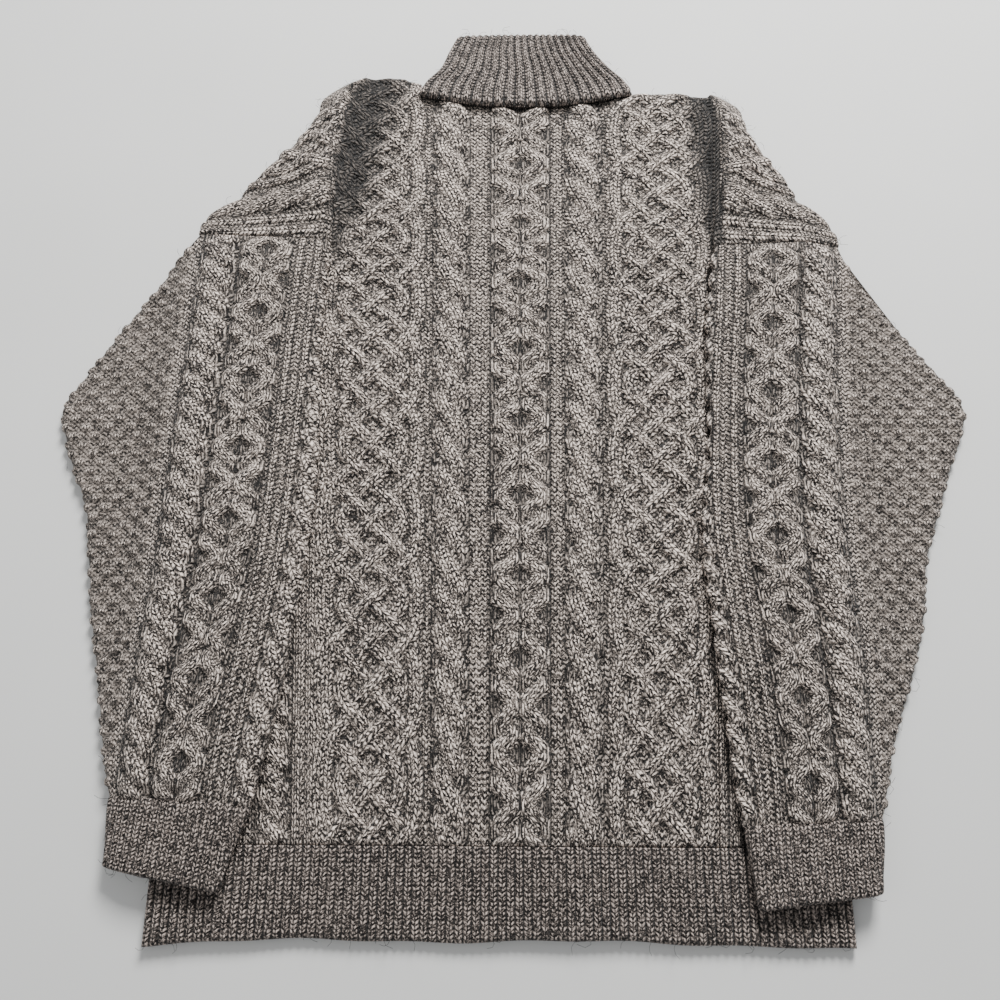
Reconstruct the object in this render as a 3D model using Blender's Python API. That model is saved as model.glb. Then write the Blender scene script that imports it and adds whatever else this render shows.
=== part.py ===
"""Cable knit sweater, laid out flat with its back up.

Metres. X runs across the garment, +Y towards the collar, +Z up. The origin lies on the
surface the sweater rests on, under the middle of its outline. Left is -X.
"""

import math
from collections import namedtuple

import bmesh
import bpy

# ---- cloth ----
WALL = 0.0040           # plain knitted ground, through the cloth
CABLE_RISE = 0.0030     # a cable above the ground
RIB_RISE = 0.0012       # a rib above its furrow
SEAM_GAP = 0.0003       # between pieces that are sewn or laid together
CREASE_GAP = 0.0007     # between the back and a shoulder rolled up beside it
TUBE_SLACK = 0.0012     # air between the two walls of a flattened tube
WELD = 0.00001          # distance at which a tube's first and last columns merge

# ---- levels above the surface ----
BACK_UNDERSIDE = WALL + SEAM_GAP
BACK_GROUND = BACK_UNDERSIDE + WALL
CABLE_TOP = BACK_GROUND + CABLE_RISE
SLEEVE_REST = CABLE_TOP + SEAM_GAP
TUBE_HALF = WALL + TUBE_SLACK / 2.0

# ---- body ----
BODY_LEFT = -0.260
BODY_RIGHT = 0.240
HEM_LEFT = -0.255
HEM_RIGHT = 0.238
HEM_TOP = -0.326        # where the ribbed band joins the panel
HEM_BOTTOM = -0.388
HEM_CORNER_DROP = 0.004  # the band's corners hang lower than its middle
HEM_RIBS = 82

# ---- knit pattern of the back ----
KNIT_ROW = 0.0040       # height of one row of stitches
ROWS_PER_STEP = 2       # rows of stitches for each row of mesh points
ROPE_ROWS = 8           # rows from one crossing of a rope to the next
HUGS_ROWS = 4           # rows between the crossings of the middle cable
HUGS_START = 12         # row at which its drawing starts
WEAVE_ROWS = 8          # rows in which a lattice strand goes over one and under the next
STRAND_RUN = 0.25       # row on each side of a place, over which a strand's slope is taken
PATTERN_X = 0.007       # middle cable's place across the garment
FRONT_STEP = 0.020      # rows of mesh points on the plain front
FRONT_DROP = 0.003      # its upper edge stays below the back's
FRONT_GAP = 0.0045      # between it and a shoulder
FAN_LEVEL = -0.068      # height at which the pattern has its nominal width
FAN_SPREAD = 0.35       # growth of its width for each metre towards the collar
STRAND_HALF = 0.0056    # half the width of one strand of a lattice
STRAND_MIDDLE = 0.75    # height of a strand halfway between over and under, of a cable's rise
STRAND_SWAY = 0.25      # how much higher it goes over, and lower under
STRAND_OFFSET = 0.5     # a rope's strands swing this share of its half width from its middle
STRAND_WIDTH = 0.6      # half a rope's strand, as a share of the rope's half width

# Strands of a lattice: those that rest along its edges, and those that turn inside them.
# rows is how many a strand takes to go over and come back, swing is its share of the width,
# and a gain above 1 makes it rest before it turns.
Plait = namedtuple("Plait", "strands rows swing gain")
PLAITS = (Plait(4, 64, 1.0, 1.64), Plait(2, 32, 0.69, 1.25))
REST_POWER = 6          # how sharply a strand stops before it rests

Column = namedtuple("Column", "kind middle half_width start")
BACK_COLUMNS = (
    Column("hugs", 0.0, 0.0230, HUGS_START),
    Column("rope", -0.0555, 0.0135, 4),
    Column("rope", 0.0505, 0.0140, 2),
    Column("lattice", -0.1175, 0.0425, 11),
    Column("lattice", 0.1105, 0.0425, 8),
    Column("rope", -0.1930, 0.0125, 1),
    Column("rope", 0.1860, 0.0125, 1),
)
# Heights on the back, each with the number of stitch rows up to it.
Mark = namedtuple("Mark", "at value")
ROW_MARKS = (Mark(-0.3324, 0.0), Mark(-0.3150, 4.0), Mark(-0.2454, 20.0), Mark(-0.1752, 36.0),
             Mark(-0.1134, 52.0), Mark(-0.0473, 68.0), Mark(0.0171, 84.0), Mark(0.0832, 100.0),
             Mark(0.1449, 116.0), Mark(0.2034, 132.0), Mark(0.2667, 148.0), Mark(0.3460, 168.5))
# Places across the back, in pattern widths, where the mesh has a column of points.
LEFT_STATIONS = (-0.160, -0.1545, -0.1490, -0.1425, -0.1360, -0.1300, -0.1240, -0.1175, -0.1110,
                 -0.1050, -0.0990, -0.0925, -0.0860, -0.0805, -0.0750, -0.0690, -0.0622, -0.0555,
                 -0.0488, -0.0420, -0.023)
MIDDLE_STATIONS = (-0.01725, -0.0115, -0.00575, 0.0, 0.00575, 0.0115, 0.01725)
RIGHT_STATIONS = (0.023, 0.0365, 0.0435, 0.0505, 0.0575, 0.0645, 0.0680, 0.0735, 0.0790, 0.0855,
                  0.0920, 0.0980, 0.1040, 0.1105, 0.1170, 0.1230, 0.1290, 0.1355, 0.1420, 0.1475,
                  0.1530)
LEFT_FLANK = (-0.206, -0.193, -0.180)
RIGHT_FLANK = (0.173, 0.186, 0.199)
DRAWN_LEFT = -0.075     # outside these two, the shoulders' creases draw the mesh in
DRAWN_RIGHT = 0.0735
DRAWN_BELOW = (0.010, 0.030)    # below a sleeve's seam it widens again, from and to here
SETTLE_ROUNDS = 4       # passes that bring a point's place across and its height together
PLAIN_HEM_INTERVALS = 8

# ---- shoulder line and neck ----
NECK_MIDDLE_X = 0.012
NECK_HALF = 0.096
NECK_LOW = 0.3130
NECK_RISE = 0.0130      # the neckline's ends above its middle
# Places across, each with the shoulder line's height there.
SHOULDER_LINE_LEFT = (Mark(-0.150, 0.332), Mark(-0.136, 0.341), Mark(-0.115, 0.341),
                      Mark(-0.100, 0.336), Mark(-0.084, 0.327))
SHOULDER_LINE_RIGHT = (Mark(0.108, 0.325), Mark(0.134, 0.326), Mark(0.161, 0.322),
                       Mark(0.185, 0.316))

# ---- dropped shoulders, from the sleeve seam up ----
# ridge is the highest line along a shoulder, the crease is where its inner slope meets the back.
Shoulder = namedtuple("Shoulder", "y crease ridge outer ridge_height outer_height")
SHOULDER_LEFT = (
    Shoulder(0.1725, -0.1440, -0.1560, -0.271, 0.0235, 0.0120),
    Shoulder(0.195, -0.1380, -0.1570, -0.253, 0.0260, 0.0130),
    Shoulder(0.219, -0.1320, -0.1580, -0.235, 0.0275, 0.0140),
    Shoulder(0.250, -0.1240, -0.1580, -0.216, 0.0285, 0.0150),
    Shoulder(0.272, -0.1180, -0.1570, -0.199, 0.0285, 0.0160),
    Shoulder(0.294, -0.1110, -0.1540, -0.188, 0.0275, 0.0160),
    Shoulder(0.318, -0.1060, -0.1500, -0.181, 0.0245, 0.0150),
    Shoulder(0.330, -0.1050, -0.1450, -0.168, 0.0210, 0.0120),
    Shoulder(0.3405, -0.1080, -0.1370, -0.153, 0.0165, 0.0090),
)
SHOULDER_RIGHT = (
    Shoulder(0.1650, 0.1690, 0.1800, 0.283, 0.0235, 0.0120),
    Shoulder(0.181, 0.1660, 0.1810, 0.267, 0.0260, 0.0130),
    Shoulder(0.201, 0.1640, 0.1820, 0.249, 0.0275, 0.0140),
    Shoulder(0.232, 0.1620, 0.1840, 0.230, 0.0285, 0.0150),
    Shoulder(0.259, 0.1600, 0.1850, 0.217, 0.0285, 0.0160),
    Shoulder(0.280, 0.1580, 0.1850, 0.208, 0.0275, 0.0150),
    Shoulder(0.306, 0.1570, 0.1830, 0.204, 0.0230, 0.0130),
    Shoulder(0.318, 0.1590, 0.1790, 0.192, 0.0170, 0.0100),
)
SEAM_SLANT = 0.006      # the sleeve seam's outer end is this much nearer the collar
SEAM_FADE = 0.030       # height over which a shoulder's sections turn level from that slant
SHOULDER_ROWS = 16
SHOULDER_INTERVALS = 7
SHOULDER_FALL = 1.3     # power of the curve from the ridge down to the outer edge
SHOULDER_RISE = 0.6     # of a cable's rise
SHOULDER_PITCH = 0.036  # from one of its cables' crossings to the next
SHOULDER_TILT = 0.25    # its cables run out and up by this slope
EDGE_REACH = (0.004, 0.15)      # width of its rounded outer edge: at most, and of the whole
# Corners of a shoulder's section: share of the way out to the ridge or the edge, share of height.
INNER_CORNERS = ((0.0, 0.0), (0.0, 0.42), (0.30, 0.58), (0.60, 0.80), (0.82, 0.95))
OUTER_CORNERS = ((1.0, 0.72), (0.5, 0.5), (1.0, 0.28), (0.0, 0.0))

# ---- sleeves and cuffs: flattened tubes, from the seam down ----
Section = namedtuple("Section", "inner_x inner_y outer_x outer_y middle_x")
SLEEVE_LEFT = (
    Section(-0.157, 0.166, -0.271, 0.172, -0.209),
    Section(-0.1590, 0.125, -0.303, 0.127, -0.211),
    Section(-0.160, 0.095, -0.323, 0.096, -0.212),
    Section(-0.160, 0.068, -0.340, 0.068, -0.213),
    Section(-0.159, 0.039, -0.357, 0.039, -0.214),
    Section(-0.1575, 0.012, -0.370, 0.012, -0.215),
    Section(-0.1565, -0.015, -0.364, -0.015, -0.216),
    Section(-0.1555, -0.041, -0.354, -0.041, -0.217),
    Section(-0.155, -0.066, -0.342, -0.066, -0.218),
    Section(-0.157, -0.116, -0.331, -0.116, -0.220),
    Section(-0.1615, -0.164, -0.322, -0.164, -0.225),
    Section(-0.166, -0.210, -0.311, -0.209, -0.230),
    Section(-0.174, -0.256, -0.301, -0.254, -0.235),
    Section(-0.183, -0.301, -0.289, -0.295, -0.238),
)
SLEEVE_RIGHT = (
    Section(0.172, 0.158, 0.282, 0.164, 0.222),
    Section(0.1685, 0.124, 0.296, 0.124, 0.219),
    Section(0.164, 0.095, 0.315, 0.095, 0.216),
    Section(0.162, 0.066, 0.334, 0.066, 0.213),
    Section(0.1605, 0.038, 0.354, 0.038, 0.210),
    Section(0.1595, 0.011, 0.368, 0.011, 0.208),
    Section(0.1585, -0.014, 0.361, -0.014, 0.206),
    Section(0.156, -0.041, 0.349, -0.041, 0.204),
    Section(0.1525, -0.066, 0.340, -0.066, 0.203),
    Section(0.150, -0.114, 0.322, -0.114, 0.203),
    Section(0.1535, -0.162, 0.313, -0.162, 0.207),
    Section(0.156, -0.207, 0.298, -0.207, 0.210),
    Section(0.160, -0.254, 0.280, -0.251, 0.212),
    Section(0.165, -0.313, 0.263, -0.307, 0.212),
)
CUFF_LEFT = (
    Section(-0.184, -0.3013, -0.2885, -0.2953, -0.238),
    Section(-0.195, -0.330, -0.2865, -0.318, -0.240),
    Section(-0.203, -0.358, -0.2855, -0.342, -0.243),
)
CUFF_RIGHT = (
    Section(0.165, -0.3133, 0.2625, -0.3073, 0.212),
    Section(0.168, -0.340, 0.2590, -0.332, 0.212),
    Section(0.171, -0.367, 0.2550, -0.356, 0.213),
)
LEFT_KINK = -0.262      # just outside the body's edge, where a sleeve starts down to the surface
RIGHT_KINK = 0.242
RAMP = 0.045            # width over which it comes down
SLEEVE_STEP = 0.0145    # from one row of points to the next
SLEEVE_INNER_ROWS = 5
CUFF_RIBS = 18
OUTSIDE_INTERVALS = 3   # across a tube's underside outside the body's edge, and on the body
WITHIN_INTERVALS = 2
SIDE_INTERVALS = 3      # across a sleeve's upper face on each side of its cables
LEAST_BASKET = 0.006    # narrowest strip of basket stitch
FOLD_ANGLES = (36.0, 90.0, 144.0)   # round each fold of a flattened tube, in degrees
CABLE_ZONE = (-0.026, 0.054)    # the sleeve's cables, from its middle line
ZONE_INTERVALS = 10
SLEEVE_COLUMNS = (
    Column("hugs", 0.0, 0.0200, 3),
    Column("rib", -0.0280, 0.0035, 0),
    Column("rope", 0.0390, 0.0145, 2),
    Column("rope", -0.0460, 0.0110, 1),
)
BASKET_FROM = 0.056     # outside this the sleeve is basket stitch
BASKET_HEIGHT = 0.45    # of a cable's rise

# ---- collar, from its base up ----
COLLAR_WALL = 0.0055    # the rib is doubled over
COLLAR_RIBS = 18
COLLAR_UNDER_COLUMNS = 6
COLLAR_OUTER_ROWS = 6
COLLAR_INNER_ROWS = 2
Ring = namedtuple("Ring", "y_middle y_ends left right")
COLLAR = (
    Ring(0.3133, 0.3263, -0.0840, 0.1080),
    Ring(0.328, 0.338, -0.0800, 0.1030),
    Ring(0.350, 0.354, -0.0665, 0.0885),
    Ring(0.372, 0.373, -0.0590, 0.0750),
    Ring(0.393, 0.392, -0.0510, 0.0660),
)

WOOL = (0.185, 0.150, 0.132, 1.0)
ROUGHNESS = 0.9


# ---- small helpers ----

def lerp(first, last, amount):
    return first + (last - first) * amount


def smooth(amount):
    amount = min(max(amount, 0.0), 1.0)
    return amount * amount * (3.0 - 2.0 * amount)


def spread(first, last, intervals):
    """Evenly spaced values from first to last."""
    return [lerp(first, last, index / intervals) for index in range(intervals + 1)]


def row_at(table, key, value):
    """The table's row at a value of one column, its other columns drawn smoothly through."""
    rows = sorted(table, key=lambda row: getattr(row, key))
    keys = [getattr(row, key) for row in rows]
    index = max(i for i in range(len(rows) - 1) if i == 0 or keys[i] <= value)
    before = rows[max(index - 1, 0)]
    low = rows[index]
    high = rows[index + 1]
    after = rows[min(index + 2, len(rows) - 1)]
    span = keys[index + 1] - keys[index]
    amount = (value - keys[index]) / span
    fields = []
    for name in low._fields:
        values = [getattr(row, name) for row in (before, low, high, after)]
        places = [getattr(row, key) for row in (before, low, high, after)]
        fields.append(hermite(places, values, amount, span))
    return type(low)(*fields)


def hermite(places, values, amount, span):
    """Smooth curve from the second to the third of four points."""
    slope_in = (values[2] - values[0]) / (places[2] - places[0])
    slope_out = (values[3] - values[1]) / (places[3] - places[1])
    squared = amount * amount
    cubed = squared * amount
    return ((2.0 * cubed - 3.0 * squared + 1.0) * values[1]
            + (cubed - 2.0 * squared + amount) * span * slope_in
            + (3.0 * squared - 2.0 * cubed) * values[2]
            + (cubed - squared) * span * slope_out)


# ---- knit relief: 0 on the ground, 1 on top of a cable ----

def bulge(distance, half_width):
    """Round section of a strand."""
    return math.sqrt(max(0.0, 1.0 - (distance / half_width) ** 2))


def twist(across, turn, half_width, sway):
    """Two strands that wind round each other, the first one higher by the sway."""
    offset = STRAND_OFFSET * half_width * math.cos(turn)
    strand = STRAND_WIDTH * half_width
    return max((STRAND_MIDDLE + sway) * bulge(across + offset, strand),
               (STRAND_MIDDLE - sway) * bulge(across - offset, strand))


def rope(across, rows, half_width):
    """The strand that goes from right to left on its way up is the one on top."""
    turn = math.pi * rows / ROPE_ROWS
    return twist(across, turn, half_width, -STRAND_SWAY * math.sin(turn))


def hugs(across, rows, half_width):
    """Two mirrored ropes whose crossings lean out, in, in and out, drawing rounds and crosses."""
    turn = math.pi * rows / HUGS_ROWS
    half = half_width / 2.0
    return twist(abs(across) - half, turn, half, STRAND_SWAY * math.sin(turn / 2.0))


def strand_place(plait, strand, rows):
    """Place of a lattice strand, from -1 to 1 of its swing; it rests before each turn."""
    phase = (rows / plait.rows + strand / plait.strands + 0.5) % 1.0
    swing = plait.gain * (4.0 * abs(phase - 0.5) - 1.0)
    return swing / (1.0 + abs(swing) ** REST_POWER) ** (1.0 / REST_POWER)


def lattice(across, rows, half_width):
    """Strands that cross a panel on the slant, over one and under the next."""
    reach = half_width - STRAND_HALF
    weave = math.cos(2.0 * math.pi * rows / WEAVE_ROWS)
    height = 0.0
    for plait in PLAITS:
        swing = reach * plait.swing
        for strand in range(plait.strands):
            ahead = strand_place(plait, strand, rows + STRAND_RUN)
            behind = strand_place(plait, strand, rows - STRAND_RUN)
            place = swing * (ahead + behind) / 2.0
            slope = swing * (ahead - behind) / (2.0 * STRAND_RUN * KNIT_ROW)
            half = STRAND_HALF * math.hypot(1.0, slope)
            if abs(across - place) < half:
                lean = min(max(slope, -1.0), 1.0)
                level = STRAND_MIDDLE + STRAND_SWAY * lean * weave
                height = max(height, level * bulge(across - place, half))
    return height


def relief(across, rows, columns):
    """Height of whichever cable lies at this place."""
    for column in columns:
        distance = across - column.middle
        if abs(distance) > column.half_width:
            continue
        if column.kind == "hugs":
            return hugs(distance, rows - column.start, column.half_width)
        if column.kind == "lattice":
            return lattice(distance, rows - column.start, column.half_width)
        if column.kind == "rope":
            return rope(distance, rows - column.start, column.half_width)
        return bulge(distance, column.half_width)
    return 0.0


# ---- outlines ----

def pattern_width(y):
    return 1.0 + FAN_SPREAD * (y - FAN_LEVEL)


def panel_edge(y, side_rows, station, gap):
    """Edge of the back beside a dropped shoulder; below the seam it goes back to its station."""
    first = side_rows[0]
    inside = math.copysign(gap, -first.crease)
    slanted = first.y + (y - first.y + SEAM_SLANT) / (1.0 + SEAM_SLANT / SEAM_FADE)
    if slanted >= first.y:
        level = min(max(y, slanted), side_rows[-1].y)
        return row_at(side_rows, "y", level).crease + inside
    below = (first.y - y - DRAWN_BELOW[0]) / (DRAWN_BELOW[1] - DRAWN_BELOW[0])
    return lerp(first.crease + inside, PATTERN_X + station * pattern_width(y), smooth(below))


def along_marks(marks, at):
    """Value at a place between marks, which are joined by straight lines."""
    for first, last in zip(marks, marks[1:]):
        if at <= last.at:
            share = max(0.0, (at - first.at) / (last.at - first.at))
            return lerp(first.value, last.value, share)
    return marks[-1].value


def body_top(x):
    """Shoulder line, with the neckline scooped out of its middle."""
    if x < SHOULDER_LINE_LEFT[-1].at:
        return along_marks(SHOULDER_LINE_LEFT, x)
    if x > SHOULDER_LINE_RIGHT[0].at:
        return along_marks(SHOULDER_LINE_RIGHT, x)
    reach = (x - NECK_MIDDLE_X) / NECK_HALF
    return NECK_LOW + NECK_RISE * reach * reach


# ---- making pieces ----

def add_piece(mesh_data, name, collection):
    """Turn a bmesh into a named object with its own wool material."""
    bmesh.ops.recalc_face_normals(mesh_data, faces=mesh_data.faces)
    mesh = bpy.data.meshes.new(name)
    mesh_data.to_mesh(mesh)
    mesh_data.free()
    material = bpy.data.materials.new(name + "_wool")
    material.use_nodes = True
    shader = material.node_tree.nodes["Principled BSDF"]
    shader.inputs["Base Color"].default_value = WOOL
    shader.inputs["Roughness"].default_value = ROUGHNESS
    mesh.materials.append(material)
    piece = bpy.data.objects.new(name, mesh)
    collection.objects.link(piece)
    return piece


def indexed_grid(mesh_data, columns, rows):
    """A grid of columns by rows points, each with its whole-number place."""
    made = bmesh.ops.create_grid(mesh_data, x_segments=columns - 1, y_segments=rows - 1, size=1.0)
    places = {}
    for vert in made["verts"]:
        column = round((vert.co.x + 1.0) / 2.0 * (columns - 1))
        row = round((vert.co.y + 1.0) / 2.0 * (rows - 1))
        places[column, row] = vert
    return places


def flat_panel(name, columns, rows, place, keep, underside, collection):
    """Panel with a shaped upper face over a flat underside.

    place(column, row) gives each upper point, keep(column, row) says which faces stay.
    """
    mesh_data = bmesh.new()
    places = indexed_grid(mesh_data, columns, rows)
    lost = []
    for column in range(columns - 1):
        for row in range(rows - 1):
            if not keep(column, row):
                corners = {places[column, row], places[column + 1, row + 1]}
                shared = set.intersection(*(set(vert.link_faces) for vert in corners))
                lost.extend(shared)
    for (column, row), vert in places.items():
        vert.co = place(column, row)
    bmesh.ops.delete(mesh_data, geom=lost, context="FACES")
    edge = [item for item in mesh_data.edges if item.is_boundary]
    extruded = bmesh.ops.extrude_edge_only(mesh_data, edges=edge)["geom"]
    rim = [item for item in extruded if isinstance(item, bmesh.types.BMEdge)]
    for item in extruded:
        if isinstance(item, bmesh.types.BMVert):
            item.co.z = underside
    bmesh.ops.edgeloop_fill(mesh_data, edges=rim)
    return add_piece(mesh_data, name, collection)


def body_rows(step):
    """Even steps from the hem band to the seam's height and on to the top, as shares of it."""
    span = NECK_LOW - HEM_TOP
    return spread(0.0, 1.0, round(span / step))


def make_body_panel(name, top_of, underside, stations, step, drop, gap, collection):
    """Front or back panel: full width below the sleeve seams, in to the creases above them.

    drop is how far its upper edge stays below the shoulder line, gap is how far it stays from
    the creases.
    """
    shares = body_rows(step)
    last = len(stations) - 1

    def across(column, y):
        if column == 0:
            return BODY_LEFT
        if column == last:
            return BODY_RIGHT
        left_edge = panel_edge(y, SHOULDER_LEFT, LEFT_STATIONS[0], gap)
        right_edge = panel_edge(y, SHOULDER_RIGHT, RIGHT_STATIONS[-1], gap)
        if column == left_corner:
            return left_edge
        if column == right_corner:
            return right_edge
        x = PATTERN_X + stations[column] * pattern_width(y)
        if left_corner < column < right_corner:
            return squeeze(x, left_edge, right_edge)
        return x

    def point(column, row):
        y = lerp(HEM_TOP, NECK_LOW, shares[row])
        for _ in range(SETTLE_ROUNDS):
            x = across(column, y)
            y = lerp(HEM_TOP + SEAM_GAP / 2.0, body_top(x) - drop, shares[row])
        return (x, y, top_of(x, y))

    left_corner = stations.index(LEFT_STATIONS[0])
    right_corner = stations.index(RIGHT_STATIONS[-1])
    seam_left = SLEEVE_LEFT[0].inner_y - SEAM_GAP
    seam_right = SLEEVE_RIGHT[0].inner_y - SEAM_GAP

    def keep(column, row):
        top_y = max(point(column, row + 1)[1], point(column + 1, row + 1)[1])
        if column < left_corner:
            return top_y < seam_left
        if column >= right_corner:
            return top_y < seam_right
        return True

    return flat_panel(name, len(stations), len(shares), point, keep, underside, collection)


def squeeze(x, left_edge, right_edge):
    """Draw a place towards the middle where the shoulders' creases come in."""
    inner_left = PATTERN_X + DRAWN_LEFT
    inner_right = PATTERN_X + DRAWN_RIGHT
    if x < inner_left:
        outer = PATTERN_X + LEFT_STATIONS[0] * pattern_width(NECK_LOW)
        return lerp(inner_left, left_edge, min(1.0, (inner_left - x) / (inner_left - outer)))
    if x > inner_right:
        outer = PATTERN_X + RIGHT_STATIONS[-1] * pattern_width(NECK_LOW)
        return lerp(inner_right, right_edge, min(1.0, (x - inner_right) / (outer - inner_right)))
    return x


def back_top(x, y):
    """Upper face of the back: cables over the ground, plain under the sleeves."""
    across = (x - PATTERN_X) / pattern_width(y)
    if not LEFT_FLANK[0] <= across <= RIGHT_FLANK[-1]:
        return CABLE_TOP
    return BACK_GROUND + CABLE_RISE * relief(across, along_marks(ROW_MARKS, y), BACK_COLUMNS)


def make_body(collection):
    stations = ((-1.0,) + LEFT_FLANK + LEFT_STATIONS + MIDDLE_STATIONS + RIGHT_STATIONS
                + RIGHT_FLANK + (1.0,))
    make_body_panel("back", back_top, BACK_UNDERSIDE, stations, ROWS_PER_STEP * KNIT_ROW,
                    SEAM_GAP, CREASE_GAP, collection)
    plain = (-1.0,) + LEFT_STATIONS[::5] + RIGHT_STATIONS[::5] + (1.0,)
    make_body_panel("front", lambda x, y: WALL, 0.0, plain, FRONT_STEP, FRONT_DROP,
                    FRONT_GAP, collection)


def hem_edge(x):
    """Lower edge of the band: level, with corners that hang a little."""
    middle = (HEM_LEFT + HEM_RIGHT) / 2.0
    reach = (x - middle) / (HEM_RIGHT - middle)
    return HEM_BOTTOM - HEM_CORNER_DROP * reach ** 4


def make_hem(name, underside, ribs, collection):
    """Ribbed band: a ridge and a furrow for each rib."""
    columns = spread(HEM_LEFT, HEM_RIGHT, 2 * ribs)

    def point(column, row):
        x = columns[column]
        rise = RIB_RISE if column % 2 else 0.0
        y = HEM_TOP - SEAM_GAP / 2.0 if row else hem_edge(x)
        return (x, y, underside + WALL + rise)

    flat_panel(name, len(columns), 2, point, lambda column, row: True, underside, collection)


def make_plain_hem(name, underside, collection):
    columns = spread(HEM_LEFT, HEM_RIGHT, PLAIN_HEM_INTERVALS)

    def point(column, row):
        y = HEM_TOP - SEAM_GAP / 2.0 if row else hem_edge(columns[column])
        return (columns[column], y, underside + WALL)

    flat_panel(name, len(columns), 2, point, lambda column, row: True, underside, collection)


# ---- flattened tubes ----

def wrapped_wall(name, around, outer_rows, inner_rows, place, collection):
    """Tube of cloth: a grid wrapped round, out along its outer face and back along the inner.

    place(station, row_share, inside) gives a point; the shares run from 0 to 1.
    """
    mesh_data = bmesh.new()
    path = [(share, False) for share in spread(0.0, 1.0, outer_rows)]
    path += [(share, True) for share in reversed(spread(0.0, 1.0, inner_rows))]
    path.append(path[0])
    places = indexed_grid(mesh_data, around + 1, len(path))
    for (column, row), vert in places.items():
        share, inside = path[row]
        vert.co = place(column % around, share, inside)
    bmesh.ops.remove_doubles(mesh_data, verts=mesh_data.verts, dist=WELD)
    return add_piece(mesh_data, name, collection)


def rest_height(x, kink):
    """Underside of a sleeve: on the back, then down to the surface outside the body."""
    beyond = (x - kink) * math.copysign(1.0, kink)
    return SLEEVE_REST * (1.0 - smooth(beyond / RAMP))


def tube_point(section, place, inside, kink, rise):
    """Point of a flattened tube.

    place is ("top", share), ("bottom", share) or ("inner" or "outer", degrees round the fold).
    """
    kind, amount = place
    length = math.hypot(section.outer_x - section.inner_x, section.outer_y - section.inner_y)
    half = TUBE_HALF - (WALL if inside else 0.0)
    if kind in ("top", "bottom"):
        distance = amount
        height = half if kind == "top" else -half
    else:
        angle = math.radians(amount)
        out = half * math.sin(angle)
        height = half * math.cos(angle)
        distance = TUBE_HALF - out if kind == "inner" else length - TUBE_HALF + out
    share = distance / length
    x = lerp(section.inner_x, section.outer_x, share)
    y = lerp(section.inner_y, section.outer_y, share)
    centre_share = min(max(distance, TUBE_HALF), length - TUBE_HALF) / length
    support = rest_height(lerp(section.inner_x, section.outer_x, centre_share), kink)
    bump = rise if kind == "top" and not inside else 0.0
    return (x, y, support + TUBE_HALF + height + bump)


def bottom_places(section, kink):
    """Places across the underside, one of them on the kink at the body's edge."""
    length = math.hypot(section.outer_x - section.inner_x, section.outer_y - section.inner_y)
    bend = abs(kink - section.inner_x)
    outside = spread(length - TUBE_HALF, bend, OUTSIDE_INTERVALS)
    within = spread(bend, TUBE_HALF, WITHIN_INTERVALS)
    return [("bottom", distance) for distance in outside[:-1] + within]


def sleeve_top_places(section):
    """Places across the upper face, close together over the cables."""
    length = math.hypot(section.outer_x - section.inner_x, section.outer_y - section.inner_y)
    middle = abs(section.middle_x - section.inner_x)
    low = middle + CABLE_ZONE[0]
    high = min(middle + CABLE_ZONE[1], length - TUBE_HALF - LEAST_BASKET)
    inner = spread(TUBE_HALF, low, SIDE_INTERVALS)
    cables = spread(low, high, ZONE_INTERVALS)
    basket = spread(high, length - TUBE_HALF, SIDE_INTERVALS)
    return [("top", distance) for distance in inner[:-1] + cables + basket[1:]]


def ring_places(top, bottom):
    """The whole way round a tube: over the top, round the outer fold, under, and back up."""
    outer = [("outer", angle) for angle in FOLD_ANGLES]
    inner = [("inner", angle) for angle in reversed(FOLD_ANGLES)]
    return top + outer + bottom + inner


def sleeve_rise(section, distance, along):
    middle = abs(section.middle_x - section.inner_x)
    across = distance - middle
    if across > BASKET_FROM:
        return CABLE_RISE * BASKET_HEIGHT
    return CABLE_RISE * relief(across, along / KNIT_ROW, SLEEVE_COLUMNS)


def section_at(table, share):
    """The tube's section at a share of its length."""
    keyed = [(row.inner_y + row.outer_y) / 2.0 for row in table]
    level = lerp(keyed[0], keyed[-1], share)
    Keyed = namedtuple("Keyed", ("level",) + table[0]._fields)
    rows = [Keyed(key, *row) for key, row in zip(keyed, table)]
    return row_at(rows, "level", level)


def make_sleeve(name, table, kink, collection):
    span = table[0].inner_y - table[-1].inner_y
    outer_rows = round(span / SLEEVE_STEP)
    around = len(ring_places(sleeve_top_places(table[0]), bottom_places(table[0], kink)))

    def point(station, share, inside):
        section = section_at(table, share)
        places = ring_places(sleeve_top_places(section), bottom_places(section, kink))
        kind, amount = places[station]
        rise = 0.0
        if kind == "top":
            rise = sleeve_rise(section, amount, span * (1.0 - share))
        return tube_point(section, (kind, amount), inside, kink, rise)

    wrapped_wall(name, around, outer_rows, SLEEVE_INNER_ROWS, point, collection)


def make_cuff(name, table, kink, collection):
    """Ribbed cuff: a ridge and a furrow for each rib on the side that shows."""

    def places_at(section):
        length = math.hypot(section.outer_x - section.inner_x, section.outer_y - section.inner_y)
        distances = spread(TUBE_HALF, length - TUBE_HALF, 2 * CUFF_RIBS)
        top = [("top", distance) for distance in distances]
        return ring_places(top, bottom_places(section, kink))

    def point(station, share, inside):
        section = section_at(table, share)
        kind_and_amount = places_at(section)[station]
        rise = RIB_RISE if kind_and_amount[0] == "top" and station % 2 else 0.0
        return tube_point(section, kind_and_amount, inside, kink, rise)

    wrapped_wall(name, len(places_at(table[0])), 2, 1, point, collection)


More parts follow.
